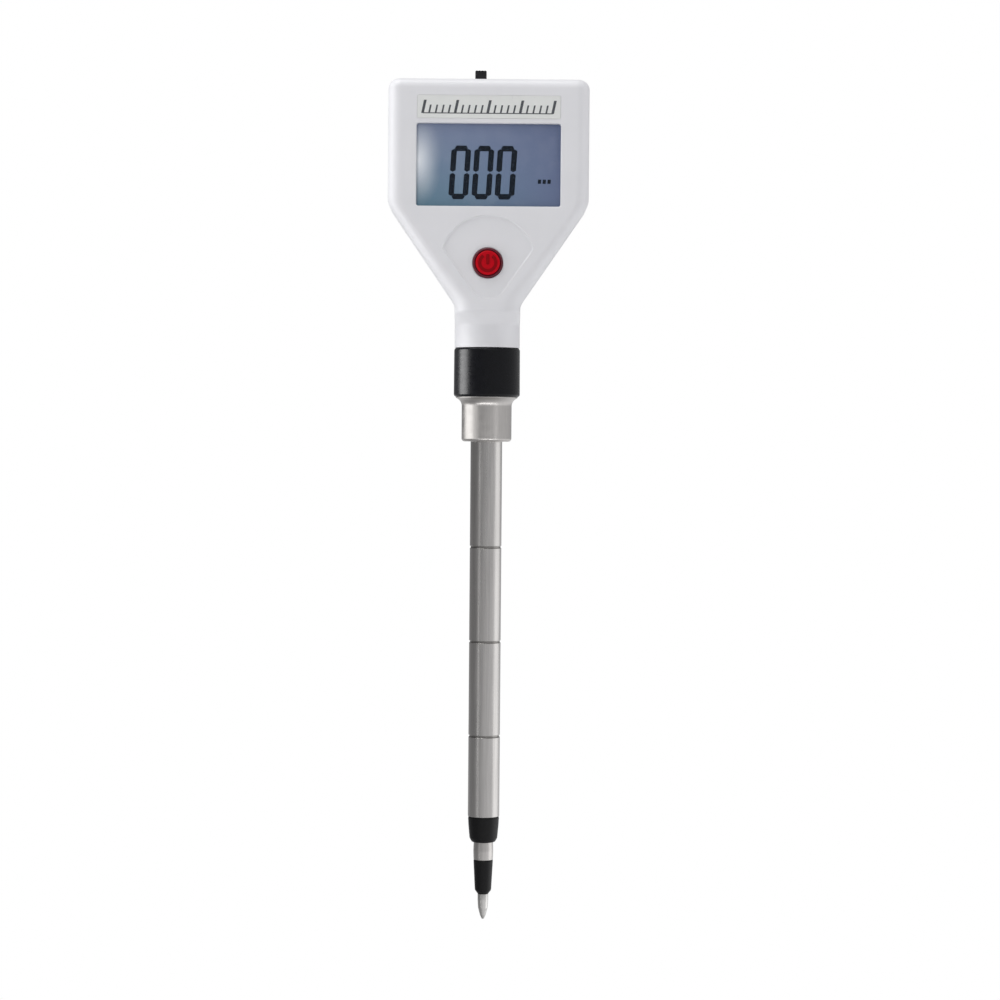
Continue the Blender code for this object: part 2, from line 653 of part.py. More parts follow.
def probe_tube():
    """The long tube, with three engraved depth rings."""
    bottom, top = TUBE_Z
    half, depth = RING_GROOVE[0] / 2, RING_GROOVE[1]
    outline = [(TUBE_BORE, bottom), (TUBE_RADIUS, bottom)]
    for z in DEPTH_RINGS:
        outline += [(TUBE_RADIUS, z - half), (TUBE_RADIUS - depth, z - half / 2)]
        outline += [(TUBE_RADIUS - depth, z + half / 2), (TUBE_RADIUS, z + half)]
    outline += [(TUBE_RADIUS, top), (TUBE_BORE, top)]
    turned("probe_tube", outline, stainless())


def electrodes():
    """The probe's end: two electrodes, one inside the other, and the insulators between them."""
    low, middle, high = TIP_TOP, LOWER_INSULATOR_TOP, RING_ELECTRODE_TOP
    half_gap = GAP / 2
    tip = [(0, 0), (0.0003, 0.00015), (0.00056, 0.0005), (0.00084, 0.0011), (0.0012, 0.0024)]
    tip += [(0.00156, 0.00365), (0.00169, 0.0062), (0.00169, low - half_gap)]
    tip += [(STEM_RADIUS, low - half_gap), (STEM_RADIUS, STEM_TOP), (0, STEM_TOP)]
    turned("tip_electrode", tip, stainless(), 20)
    bore, core = CORE_RADII
    lower = [(bore, low + half_gap), (0.0017, low + half_gap), (0.0023, low + 0.0004)]
    lower += [(0.00262, low + 0.0014), (0.00308, middle - 0.0006), (0.003, middle - half_gap)]
    lower += [(core, middle - half_gap), (core, CORE_TOP), (bore, CORE_TOP)]
    turned("lower_insulator", lower, black_plastic(), 24)
    bore, stem = RING_STEM_RADII
    ring = [(bore, middle + half_gap), (0.003, middle + half_gap), (0.00312, middle + 0.0008)]
    ring += [(0.00316, (middle + high) / 2), (0.00312, high - 0.0008), (0.003, high - half_gap)]
    ring += [(stem, high - half_gap), (stem, RING_STEM_TOP), (bore, RING_STEM_TOP)]
    turned("ring_electrode", ring, stainless(), 24)
    bore, plug = PLUG_RADII
    tube_end = TUBE_Z[0]
    upper = [(bore, high + half_gap), (0.0036, high + half_gap), (0.0042, high + 0.0006)]
    upper += [(0.00438, high + 0.0013), (0.00458, high + 0.0029), (0.00472, high + 0.005)]
    upper += [(0.00484, high + 0.007), (0.0049, tube_end - GAP), (plug, tube_end - GAP)]
    upper += [(plug, PLUG_TOP), (bore, PLUG_TOP)]
    turned("upper_insulator", upper, black_plastic())


def wire_object(name, points, radius, finish, resolution=2):
    """A wire: a curve with a round bevel and filled ends."""
    curve = bpy.data.curves.new(name, "CURVE")
    curve.dimensions = "3D"
    curve.bevel_depth = radius
    curve.bevel_resolution = resolution
    curve.use_fill_caps = True
    spline = curve.splines.new("POLY")
    spline.points.add(len(points) - 1)
    for point, position in zip(spline.points, points):
        point.co = (*position, 1.0)
    curve.materials.append(finish)
    obj = bpy.data.objects.new(name, curve)
    bpy.context.scene.collection.objects.link(obj)
    return obj


def smooth_route(knots, steps=5):
    """Points on a Catmull-Rom curve through the knots."""
    knots = [Vector(knot) for knot in knots]
    padded = [2 * knots[0] - knots[1], *knots, 2 * knots[-1] - knots[-2]]
    points = []
    for a, b, c, d in zip(padded, padded[1:], padded[2:], padded[3:]):
        for step in range(steps):
            t = step / steps
            bend = (2 * a - 5 * b + 4 * c - d) * t * t + (3 * b - a - 3 * c + d) * t**3
            points.append(b + ((c - a) * t + bend) / 2)
    return [tuple(point) for point in [*points, knots[-1]]]


def leads():
    """The wires from the electrodes and the battery contacts to the board."""
    colours = {
        "tip_lead": (0.6, 0.02, 0.02),
        "ring_lead": (0.65, 0.65, 0.6),
        "tube_lead": (0.02, 0.02, 0.02),
        "battery_minus_lead": (0.02, 0.02, 0.02),
        "battery_plus_lead": (0.6, 0.02, 0.02),
    }
    solder_y = BOARD_Y[1] + GAP + LEAD_RADIUS
    routes = {
        "tip_lead": [
            (0, 0, STEM_TOP + GAP), (-0.0012, 0, 0.058), (-0.0018, 0, 0.1), (-0.0018, 0, 0.17),
            (-0.0036, 0.0004, 0.192), (-0.0045, -0.0012, 0.2), (-0.0045, solder_y, 0.2075),
        ],
        "ring_lead": [
            (0.002, 0, RING_STEM_TOP + GAP), (0.0021, 0, 0.058), (0.0018, 0, 0.1),
            (0.0018, 0, 0.17), (0.0036, 0.0004, 0.192), (0.0045, -0.0012, 0.2),
            (0.0045, solder_y, 0.2075),
        ],
        "tube_lead": [
            (0, 0.0045, TUBE_Z[1] + GAP + LEAD_RADIUS), (0, 0.0042, 0.188), (0, 0.001, 0.1985),
            (0, solder_y, 0.2065),
        ],
        "battery_minus_lead": [
            (-0.0267, 0.005, 0.2455), (-0.0275, 0.001, 0.2445), (-0.0255, -0.0018, 0.2415),
            (-0.0225, solder_y, 0.2395),
        ],
        "battery_plus_lead": [
            (-0.0267, 0.005, 0.2345), (-0.0275, 0.001, 0.2335), (-0.0255, -0.0018, 0.2305),
            (-0.0225, solder_y, 0.2285),
        ],
    }
    for name, knots in routes.items():
        finish = material(f"{name}_jacket", colours[name], 0.5)
        wire_object(name, smooth_route(knots), LEAD_RADIUS, finish, 1)


def build():
    clear_scene()
    front_shell()
    rear_shell()
    battery_door()
    label_strip()
    display_window()
    display_stack()
    power_button()
    tact_switch()
    slide_switch()
    circuit_board()
    case_screws()
    battery_tray()
    battery_cells()
    battery_contacts()
    coupling_sleeve()
    ferrule()
    probe_tube()
    electrodes()
    leads()


build()
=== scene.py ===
"""The looks of a hand-held soil conductivity meter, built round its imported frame.

Metres, +Z up, in the frame's own axes: the probe's point is the origin and the display faces -Y.
Each piece is made where the CAD says, rides on its CAD body and stands for the nodes it replaces.
"""

import json
import math

import bmesh
import bpy
from mathutils import Matrix, Vector


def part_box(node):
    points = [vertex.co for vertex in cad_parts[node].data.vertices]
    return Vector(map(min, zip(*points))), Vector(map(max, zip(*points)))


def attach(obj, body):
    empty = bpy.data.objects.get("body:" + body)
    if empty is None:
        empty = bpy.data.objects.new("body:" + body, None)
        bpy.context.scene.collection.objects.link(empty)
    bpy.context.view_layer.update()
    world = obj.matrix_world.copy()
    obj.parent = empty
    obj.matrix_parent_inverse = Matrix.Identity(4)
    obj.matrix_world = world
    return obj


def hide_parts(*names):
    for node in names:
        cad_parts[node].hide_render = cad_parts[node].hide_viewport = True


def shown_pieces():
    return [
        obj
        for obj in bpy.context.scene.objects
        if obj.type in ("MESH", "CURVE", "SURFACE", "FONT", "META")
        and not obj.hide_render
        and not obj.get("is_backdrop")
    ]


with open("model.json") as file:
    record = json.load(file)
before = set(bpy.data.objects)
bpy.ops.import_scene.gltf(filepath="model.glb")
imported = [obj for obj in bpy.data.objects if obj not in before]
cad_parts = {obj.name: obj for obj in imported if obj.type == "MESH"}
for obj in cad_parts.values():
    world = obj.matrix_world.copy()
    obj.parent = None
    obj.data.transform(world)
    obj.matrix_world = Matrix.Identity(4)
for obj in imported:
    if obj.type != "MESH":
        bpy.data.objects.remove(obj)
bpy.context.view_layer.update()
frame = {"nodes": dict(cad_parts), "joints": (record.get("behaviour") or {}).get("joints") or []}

# The head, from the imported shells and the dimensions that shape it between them.
FRONT_LOW, FRONT_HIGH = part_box("front_shell")
HEAD_HALF_WIDTH = FRONT_HIGH.x
HEAD_HALF_DEPTH = -FRONT_LOW.y
HEAD_TOP = FRONT_HIGH.z
SPIGOT_BOTTOM = FRONT_LOW.z
WALL = 0.002
HEAD_EDGE_RADIUS = 0.0042
HEAD_TOP_FILLET = 0.0032
NECK_RADIUS = 0.0103
NECK_SWELL = (0.1883, 0.1929)
NECK_EDGE_RADIUS = 0.0059
EDGE_TAPER_TOP = 0.215
FUNNEL_START = 0.195
FUNNEL_END = 0.2259
FUNNEL_BLEND = 0.0018
FUNNEL_SLOPE = (HEAD_HALF_WIDTH - NECK_RADIUS) / (FUNNEL_END - FUNNEL_START)
SPIGOT_RADIUS = 0.0088
SPIGOT_BORE = 0.0068
SEAM = 0.00001
SEAM_ROUNDING = 0.0002

# The head's openings.
LENS_LOW, LENS_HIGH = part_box("display_window")
WINDOW_CENTRE_Z = (LENS_LOW.z + LENS_HIGH.z) / 2
WINDOW_HALF = (0.02245, 0.01285)
LABEL_LOW, LABEL_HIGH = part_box("label_strip")
LABEL_CENTRE_Z = (LABEL_LOW.z + LABEL_HIGH.z) / 2
LABEL_HALF = (LABEL_HIGH.x, (LABEL_HIGH.z - LABEL_LOW.z) / 2)
LABEL_RECESS = 0.0005
SHIELD_DEPTH = 0.0004
SHIELD_RADIUS = 0.0148
SHIELD_TOP_CORNER = (0.0142, 0.212)
SHIELD_LOW_CORNER = (0.0032, 0.1966)
SLOT_HALF = (0.005, 0.0016)
CUT_MARGIN = 0.0005
CAVITY_BOTTOM = 0.185
BORE_HEIGHTS = (0.17, 0.1865)

# The button, the knob, the rear's screws and the door.
CAP_LOW, CAP_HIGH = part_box("button_cap")
BUTTON_Z = (CAP_LOW.z + CAP_HIGH.z) / 2
BUTTON_FRONT = CAP_LOW.y
BUTTON_RADIUS = 0.0038
BUTTON_HOLE = 0.00475
KNOB_LOW, KNOB_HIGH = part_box("slide_switch_knob")
DOOR_LOW, DOOR_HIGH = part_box("battery_door")
DOOR_HINGE = next(joint for joint in frame["joints"] if joint["name"] == "door_tilt")
DOOR_BOTTOM = DOOR_HINGE["pos_m"][2]
DOOR_SEAT = 0.0115
DOOR_INNER = 0.0122
TAB_X = 0.015
TAB_HALF = 0.002
SCREW_SEAT = 0.0111
SCREW_BOXES = [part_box(f"case_screw_{index}") for index in range(1, 5)]
SCREW_PLACES = [((low.x + high.x) / 2, (low.z + high.z) / 2) for low, high in SCREW_BOXES]

# The sleeve, the ferrule and the probe.
DEPTH_RINGS = (0.0585, 0.0885, 0.1185)
RING_PITCH = 0.03
SLEEVE_LOW, SLEEVE_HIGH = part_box("coupling_sleeve")
FERRULE_LOW, FERRULE_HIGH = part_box("ferrule")
TUBE_LOW, TUBE_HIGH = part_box("probe_tube")
COLLAR_BORE = 0.0068
COLLAR_STEP = 0.1733
BARREL_RADIUS = 0.0079
SHOULDER_FOOT = 0.1646
SOCKET_RADIUS = 0.0065
TUBE_BORE = 0.004
GROOVE_DEPTH = 0.00025
GROOVE_HALF = 0.0004
PLUG_RADII = (0.0026, 0.0037)
RING_STEM_RADII = (0.0017, 0.0023)
CORE_RADII = (0.001, 0.0014)
STEM_RADIUS = 0.0007
JOINT_GAP = 0.00004

# Which pieces the studio's separate cards light.
PROBE = ("probe_tube_drawn", "ring_electrode_turned", "tip_electrode_turned")
INSULATORS = ("upper_insulator_turned", "lower_insulator_turned")
METAL = ("ferrule_barrel", *PROBE)
BLACKS = ("coupling_collar", *INSULATORS)

CORNER_STEPS = 10
TURN_STEPS = 96
EDGE_STEPS = 4
SMOOTH_BELOW = math.radians(38)


# ---- outlines


def arc(centre, radius, start, end, steps):
    """Points along an arc in the plane, both ends included."""
    angles = [start + (end - start) * step / steps for step in range(steps + 1)]
    return [
        (centre[0] + radius * math.cos(angle), centre[1] + radius * math.sin(angle))
        for angle in angles
    ]


def rectangle(half, middle, corner, steps=6):
    """A rectangle with round corners about (0, middle), anticlockwise."""
    points = []
    for turn in range(4):
        start = turn * math.pi / 2
        side_u = 1 if turn in (0, 3) else -1
        side_v = 1 if turn in (0, 1) else -1
        centre = (side_u * (half[0] - corner), middle + side_v * (half[1] - corner))
        points += arc(centre, corner, start, start + math.pi / 2, steps)
    return points


def circle(centre, radius, steps=64):
    """A circle, anticlockwise."""
    return arc(centre, radius, 0, math.tau, steps)[:-1]


def rounded(corners, steps=EDGE_STEPS):
    """An outline whose corners (u, v, fillet) are replaced by arcs of that radius."""
    outline = []
    for index, (u, v, fillet) in enumerate(corners):
        here = Vector((u, v))
        before = Vector(corners[index - 1][:2]) - here
        after = Vector(corners[(index + 1) % len(corners)][:2]) - here
        if not fillet:
            outline.append((u, v))
            continue
        half_angle = before.angle(after) / 2
        reach = fillet / math.tan(half_angle)
        middle = here + (before.normalized() + after.normalized()).normalized() * (
            fillet / math.sin(half_angle)
        )
        first = here + before.normalized() * reach - middle
        last = here + after.normalized() * reach - middle
        turn = math.pi - 2 * half_angle
        for step in range(steps + 1):
            share = step / steps
            spoke = first * math.sin((1 - share) * turn) + last * math.sin(share * turn)
            outline.append(tuple(middle + spoke / math.sin(turn)))
    return outline


def eased(before, corner, after, reach, steps=8):
    """The curve that replaces a corner between two stretches of an outline."""
    corner = Vector(corner)
    start = corner + (Vector(before) - corner).normalized() * reach
    end = corner + (Vector(after) - corner).normalized() * reach
    points = []
    for step in range(steps + 1):
        share = step / steps
        point = (1 - share) ** 2 * start + 2 * share * (1 - share) * corner + share**2 * end
        points.append(tuple(point))
    return points


def grown(outline, distance):
    """An anticlockwise outline moved outward by a distance, or inward if it is negative."""
    moved = []
    for index, (x, z) in enumerate(outline):
        before = Vector(outline[index - 1])
        after = Vector(outline[(index + 1) % len(outline)])
        along = (after - before).normalized()
        moved.append((x + along.y * distance, z - along.x * distance))
    return moved


def shield_outline():
    """The shallow recess round the power button: an arc above, sides falling to a blunt point."""
    x_top, z_top = SHIELD_TOP_CORNER
    x_low, z_low = SHIELD_LOW_CORNER
    rise = math.atan2(z_top - BUTTON_Z, x_top)
    crown = arc((0, BUTTON_Z), SHIELD_RADIUS, rise, math.pi - rise, 28)
    right_top = eased((x_low, z_low), crown[0], crown[1], 0.0005)
    left_top = eased(crown[-2], crown[-1], (-x_low, z_low), 0.0005)
    left_low = eased((-x_top, z_top), (-x_low, z_low), (0, z_low), 0.0026)
    right_low = eased((0, z_low), (x_low, z_low), (x_top, z_top), 0.0026)
    return right_top + crown[1:-1] + left_top + left_low + right_low


# ---- meshes


def linked(name, data):
    """A new object of that data in the scene."""
    obj = bpy.data.objects.new(name, data)
    bpy.context.scene.collection.objects.link(obj)
    return obj


def object_as_is(bm, name):
    """Turns a bmesh into an object."""
    mesh = bpy.data.meshes.new(name)
    bm.to_mesh(mesh)
    bm.free()
    return linked(name, mesh)


def object_from(bm, name):
    """Turns a bmesh into an object without doubled points, its normals outward."""
    bmesh.ops.remove_doubles(bm, verts=bm.verts, dist=1e-7)
    bmesh.ops.dissolve_degenerate(bm, edges=bm.edges, dist=1e-7)
    bmesh.ops.recalc_face_normals(bm, faces=bm.faces)
    return object_as_is(bm, name)


def skin(bm, rings):
    """Faces between neighbouring rings of as many vertices each."""
    for lower, upper in zip(rings, rings[1:]):
        for index in range(len(lower)):
            after = (index + 1) % len(lower)
            bm.faces.new((lower[index], lower[after], upper[after], upper[index]))


def stacked(name, layers):
    """A closed solid through layers (outline, y), whose outlines have as many (x, z) points each."""
    bm = bmesh.new()
    rings = [[bm.verts.new((x, y, z)) for x, z in outline] for outline, y in layers]
    skin(bm, rings)
    bm.faces.new(rings[0])
    bm.faces.new(rings[-1][::-1])
    return object_from(bm, name)


def round_layers(outline, face, rounding, facing, inset_share=1.0):
    """The layers of a slab's edge, from its inset face to its full outline."""
    layers = []
    for step in range(EDGE_STEPS + 1):
        angle = math.pi / 2 * step / EDGE_STEPS
        inward = rounding * (1 - math.sin(angle)) * inset_share
        depth = rounding * (1 - math.cos(angle))
        layers.append((grown(outline, -inward), face - facing * depth))
    return layers


def slab(name, outline, front, back, rounding=0.0, facing=-1):
    """A flat piece between two depths. The edge of the face that looks along facing is rounded."""
    face, rear = (front, back) if facing < 0 else (back, front)
    if not rounding:
        return stacked(name, [(outline, face), (outline, rear)])
    return stacked(name, [*round_layers(outline, face, rounding, facing), (outline, rear)])


def flared_cutter(name, outline, face, floor, rounding, facing=-1, draft=0.0):
    """A cutter from outside a face down to a floor, which leaves the opening's edge rounded.
    With a draft, the opening narrows by that much towards its floor."""
    layers = [(grown(outline, -draft), floor)]
    for step in range(EDGE_STEPS + 1):
        angle = math.pi / 2 * step / EDGE_STEPS
        outward = rounding * (1 - math.cos(angle))
        depth = rounding * (1 - math.sin(angle))
        layers.append((grown(outline, outward), face - facing * depth))
    outside = face + facing * 0.002
    return stacked(name, [*layers, (grown(outline, rounding), outside)])


def lathe(name, outline, steps=TURN_STEPS, place=None):
    """A solid of revolution about Z from a closed outline of (radius, height) points, then placed."""
    bm = bmesh.new()
    corners = [bm.verts.new((radius, 0.0, height)) for radius, height in outline]
    edges = [
        bm.edges.new((first, second))
        for first, second in zip(corners, corners[1:] + corners[:1])
        if max(first.co.x, second.co.x) > 0
    ]
    bmesh.ops.spin(
        bm, geom=corners + edges, cent=(0, 0, 0), axis=(0, 0, 1), angle=math.tau, steps=steps
    )
    if place is not None:
        bmesh.ops.transform(bm, matrix=place, verts=bm.verts)
    return object_from(bm, name)


def facing_front(x, y, z):
    """Places a lathe so that its Z runs along +Y from a point."""
    return Matrix.Translation((x, y, z)) @ Matrix.Rotation(-math.pi / 2, 4, "X")


def block(name, low, high):
    """An axis-aligned block between two corners."""
    bm = bmesh.new()
    size = Vector(high) - Vector(low)
    centre = (Vector(high) + Vector(low)) / 2
    placed = Matrix.Translation(centre) @ Matrix.Diagonal((*size, 1.0))
    bmesh.ops.create_cube(bm, size=1.0, matrix=placed)
    return object_from(bm, name)


def joined(name, pieces):
    """Several objects' meshes as one object."""
    bm = bmesh.new()
    for piece in pieces:
        bm.from_mesh(piece.data)
        bpy.data.objects.remove(piece, do_unlink=True)
    return object_as_is(bm, name)


def carve(obj, operation, *others):
    """Applies one exact Boolean of the other objects, which are then removed."""
    group = bpy.data.collections.new(f"{operation.lower()} {obj.name}")
    bpy.context.scene.collection.children.link(group)
    for other in others:
        group.objects.link(other)
    modifier = obj.modifiers.new("carve", "BOOLEAN")
    modifier.operation = operation
    modifier.solver = "EXACT"
    modifier.operand_type = "COLLECTION"
    modifier.collection = group
    bpy.context.view_layer.update()
    evaluated = obj.evaluated_get(bpy.context.evaluated_depsgraph_get())
    carved = bpy.data.meshes.new_from_object(evaluated)
    obj.modifiers.remove(modifier)
    obj.data = carved
    for other in others:
        bpy.data.objects.remove(other, do_unlink=True)
    bpy.data.collections.remove(group)
    return obj


def piece(obj, finish, slot, *nodes, body="root"):
    """Finishes a piece: its shading, material, the CAD nodes it replaces and its body. The slot is not
    used.
    """
    mesh = obj.data
    mesh.materials.clear()
    mesh.materials.append(finish)
    mesh.polygons.foreach_set("material_index", [0] * len(mesh.polygons))
    mesh.shade_smooth()
    mesh.set_sharp_from_angle(angle=SMOOTH_BELOW)
    normals = obj.modifiers.new("normals", "WEIGHTED_NORMAL")
    normals.keep_sharp = True
    if nodes:
        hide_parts(*nodes)
    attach(obj, body)
    return obj


# ---- materials


def feed(tree, socket, value):
    """Sets a node's input to a value, or joins it to an output."""
    if isinstance(value, bpy.types.NodeSocket):
        tree.links.new(value, socket)
    else:
        socket.default_value = value


class Nodes:
    """A node tree, and short ways to add to it."""

    def __init__(self, tree):
        self.tree = tree

    def add(self, kind, inputs=None, **settings):
        """A node with its settings, and its inputs set to values or joined to outputs."""
        node = self.tree.nodes.new(kind)
        for label, value in settings.items():
            setattr(node, label, value)
        for label, value in (inputs or {}).items():
            feed(self.tree, node.inputs[label], value)
        return node

    def spread(self, value, low, high, out_low, out_high):
        """A value between two limits, mapped to between two others and clamped."""
        inputs = {
            "Value": value, "From Min": low, "From Max": high, "To Min": out_low, "To Max": out_high
        }
        return self.add("ShaderNodeMapRange", inputs).outputs["Result"]

    def combined(self, first, second, operation="ADD"):
        """Two numbers added, or put through another operation."""
        return self.add("ShaderNodeMath", {0: first, 1: second}, operation=operation).outputs[0]

    def mixed(self, share, first, second):
        """A colour between two colours, each a tuple or an output."""
        node = self.add("ShaderNodeMix", {0: share}, data_type="RGBA")
        for socket, value in ((node.inputs[6], first), (node.inputs[7], second)):
            feed(self.tree, socket, (*value, 1.0) if isinstance(value, tuple) else value)
        return node.outputs[2]


class Finish(Nodes):
    """One Principled material, and short ways to vary it with nodes in object coordinates."""

    def __init__(self, name, colour, roughness, **constants):
        self.material = bpy.data.materials.new(name)
        self.material.use_nodes = True
        super().__init__(self.material.node_tree)
        self.shader = self.tree.nodes["Principled BSDF"]
        self.colour = colour
        self.roughness = roughness
        self.shader.inputs["Base Color"].default_value = (*colour, 1.0)
        self.shader.inputs["Roughness"].default_value = roughness
        for label, value in constants.items():
            self.shader.inputs[label.replace("_", " ")].default_value = value
        self.place = self.add("ShaderNodeTexCoord").outputs["Object"]

    def join(self, output, label):
        """Joins a node's output to one of the shader's inputs."""
        self.tree.links.new(output, self.shader.inputs[label])

    def noise(self, scale, stretch=(1, 1, 1), detail=3.0):
        """Noise from 0 to 1. The stretch lengthens its grain along an axis."""
        share = tuple(1 / length for length in stretch)
        mapped = self.add("ShaderNodeMapping", {"Vector": self.place, "Scale": share})
        inputs = {"Vector": mapped.outputs[0], "Scale": scale, "Detail": detail, "Roughness": 0.55}
        return self.add("ShaderNodeTexNoise", inputs).outputs["Fac"]

    def mottle(self, scale, amount, stretch=(1, 1, 1)):
        """Colour that wanders a little lighter and darker."""
        share = self.spread(self.noise(scale, stretch), 0.3, 0.7, 0.0, 1.0)
        dark = tuple(channel * (1 - amount) for channel in self.colour)
        light = tuple(min(channel * (1 + amount), 1.0) for channel in self.colour)
        self.join(self.mixed(share, dark, light), "Base Color")
        return self

    def polish(self, scale, amount, stretch=(1, 1, 1)):
        """Roughness that wanders by an amount either way."""
        low, high = self.roughness - amount, self.roughness + amount
        self.join(self.spread(self.noise(scale, stretch), 0.3, 0.7, low, high), "Roughness")
        return self

    def grain(self, scale, height, stretch=(1, 1, 1), strength=1.0, detail=3.0):
        """A fine relief of that height in metres."""
        relief = self.add(
            "ShaderNodeBump",
            {"Height": self.noise(scale, stretch, detail), "Strength": strength, "Distance": height},
        )
        self.join(relief.outputs[0], "Normal")
        return self


def white_plastic():
    """Moulded ABS with a fine spark-eroded grain."""
    made = Finish("white_abs", (0.79, 0.79, 0.815), 0.4, Specular_IOR_Level=0.45)
    made.mottle(90, 0.012).polish(700, 0.05).grain(3200, 0.000012, strength=0.35)
    return made.material


def black_plastic(name="black_satin", colour=(0.014, 0.014, 0.016), roughness=0.34):
    """Moulded black plastic, satin, with a soft uneven polish."""
    made = Finish(name, colour, roughness, Specular_IOR_Level=0.28)
    made.mottle(400, 0.15).polish(900, 0.05).grain(2600, 0.000006, strength=0.2)
    return made.material


def tube_steel():
    """Steel drawn lengthwise in long fine streaks, with painted shade in the floor of each depth ring.
    """
    made = Finish("tube_steel", (0.6, 0.585, 0.57), 0.3, Metallic=1.0)
    lengthwise = (1, 1, 40)
    made.mottle(2400, 0.09, lengthwise).polish(1500, 0.06, lengthwise)
    made.grain(5200, 0.000006, lengthwise, 0.5, 4.0)
    # Painted shade: the colour turns dark grey in each depth ring's groove.
    height = made.add("ShaderNodeSeparateXYZ", {"Vector": made.place}).outputs["Z"]
    lowest, clear = DEPTH_RINGS[0], 0.0085
    inputs = {0: height, 1: lowest + RING_PITCH / 2, 2: lowest - RING_PITCH / 2}
    wrapped = made.add("ShaderNodeMath", inputs, operation="WRAP").outputs[0]
    below = made.combined(wrapped, lowest - 0.0001, "SUBTRACT")
    near = made.spread(made.combined(below, 0.0, "ABSOLUTE"), 0.0002, 0.0004, 1.0, 0.0)
    start, end = lowest - clear, DEPTH_RINGS[-1] + clear
    within = made.combined(made.spread(height, start, start + 0.0001, 0.0, 1.0), near, "MULTIPLY")
    within = made.combined(made.spread(height, end, end + 0.0001, 1.0, 0.0), within, "MULTIPLY")
    steel = made.shader.inputs["Base Color"].links[0].from_socket
    made.join(made.mixed(within, steel, (0.27, 0.26, 0.25)), "Base Color")
    return made.material


def turned_steel(name, tone=(0.62, 0.6, 0.58), roughness=0.34):
    """Stainless steel from the lathe: fine rings round the axis and a few lengthwise marks."""
    made = Finish(name, tone, roughness, Metallic=1.0)
    made.mottle(1800, 0.05, (1, 1, 12)).polish(500, 0.05, (3, 3, 1))
    made.grain(9000, 0.000004, (12, 12, 1), 0.5, 2.0)
    return made.material


def nickel():
    made = Finish("nickel_plate", (0.7, 0.68, 0.62), 0.26, Metallic=1.0)
    return made.mottle(900, 0.06).polish(1400, 0.07).grain(4000, 0.000006, strength=0.4).material


def red_plastic():
    made = Finish("red_button", (0.52, 0.001, 0.009), 0.45, Specular_IOR_Level=0.1)
    return made.mottle(500, 0.05).polish(900, 0.05).grain(2500, 0.00001, strength=0.3).material


def crimson_ink():
    made = Finish("symbol_crimson", (0.25, 0.0008, 0.004), 0.5, Specular_IOR_Level=0.1)
    return made.mottle(1200, 0.08).polish(1500, 0.05).material


# Dark maroon rubber. On the seal ring its darkness is partly the rubber's own colour and partly painted
# shade of the gap round the cap.
def maroon_rubber():
    made = Finish("maroon_seal_gap_shade", (0.12, 0.008, 0.02), 0.5, Specular_IOR_Level=0.4)
    return made.mottle(900, 0.12).polish(800, 0.08).grain(3000, 0.00001, strength=0.5).material


def rubber():
    made = Finish("gasket_rubber", (0.02, 0.02, 0.022), 0.75)
    return made.mottle(700, 0.2).polish(500, 0.08).grain(2500, 0.00002, strength=0.5).material


def label_film():
    """Polyester film with a faint warm tint and a light matt coat."""
    made = Finish("label_film_print", (0.78, 0.79, 0.775), 0.32, Specular_IOR_Level=0.4)
    return made.mottle(260, 0.015).polish(900, 0.05).grain(4200, 0.000006, strength=0.3).material


def scale_ink():
    made = Finish("scale_ink", (0.075, 0.08, 0.09), 0.45)
    return made.mottle(1800, 0.25).polish(1500, 0.05).material


def segment_ink():
    """A dark liquid crystal segment, a little blue."""
    made = Finish("segment_dark", (0.006, 0.012, 0.02), 0.25, Specular_IOR_Level=0.2)
    return made.mottle(1500, 0.2).polish(900, 0.04).material


def clear_lens():
    """Clear acrylic: see-through, and glossy where the light grazes it."""
    made = Finish("clear_acrylic", (0.03, 0.04, 0.06), 0.05, Alpha=0.12)
    return made.material


def display_glass():
    """The liquid crystal cell over its light panel: blue-grey, lighter towards its top and left, with a
    painted glare highlight at its left edge and painted shade along its left, top and bottom edges.
    """
    made = Finish("lcd_glass", (0.17, 0.21, 0.33), 0.2, Emission_Strength=0.5)
    low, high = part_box("lcd_cell")
    x, _, z = made.add("ShaderNodeSeparateXYZ", {"Vector": made.place}).outputs
    height = made.spread(z, low.z, high.z, 0.0, 1.0)
    side = made.spread(x, low.x, high.x, 0.0, 1.0)
    cool = made.mixed(height, (0.12, 0.235, 0.3), (0.215, 0.255, 0.385))
    body = made.mixed(side, cool, (0.135, 0.168, 0.285))
    # Painted glare highlight: a near-white oval at the cell's left edge, which the emission makes shine
    # as well.
    glare_place = made.add(
        "ShaderNodeMapping",
        {"Vector": made.place, "Location": (2.8, 0.0, -14.86), "Scale": (126, 0, 62)},
    )
    near = made.add("ShaderNodeVectorMath", {0: glare_place.outputs[0]}, operation="LENGTH")
    painted_glare = made.spread(near.outputs["Value"], 0.0, 1.0, 1.0, 0.0)
    painted_glare = made.combined(painted_glare, 1.6, "POWER")
    cloud = made.spread(made.noise(120), 0.3, 0.7, -0.03, 0.03)
    lit = made.mixed(made.combined(painted_glare, cloud), body, (0.93, 0.96, 1.0))
    # Painted shade of the window's walls: the cell darkens towards its left, top and bottom edges.
    painted_edge_shade = made.spread(x, low.x + 0.0013, low.x + 0.002, 0.55, 1.0)
    for edge, inner in ((low.z + 0.0013, low.z + 0.0023), (high.z - 0.0013, high.z - 0.0023)):
        painted_edge_shade = made.combined(painted_edge_shade, made.spread(z, edge, inner, 0.8, 1.0), "MULTIPLY")
    lit = made.mixed(painted_edge_shade, (0.03, 0.04, 0.07), lit)
    made.join(lit, "Base Color")
    made.join(lit, "Emission Color")
    made.polish(700, 0.03)
    return made.material


def plain(name, colour, roughness, scale=600, amount=0.08, **constants):
    """A finish for the pieces inside: mottled, with an uneven polish and a little relief."""
    made = Finish(name, colour, roughness, **constants)
    made.mottle(scale, amount).polish(scale, 0.06).grain(scale * 4, 0.00001, strength=0.4)
    return made.material


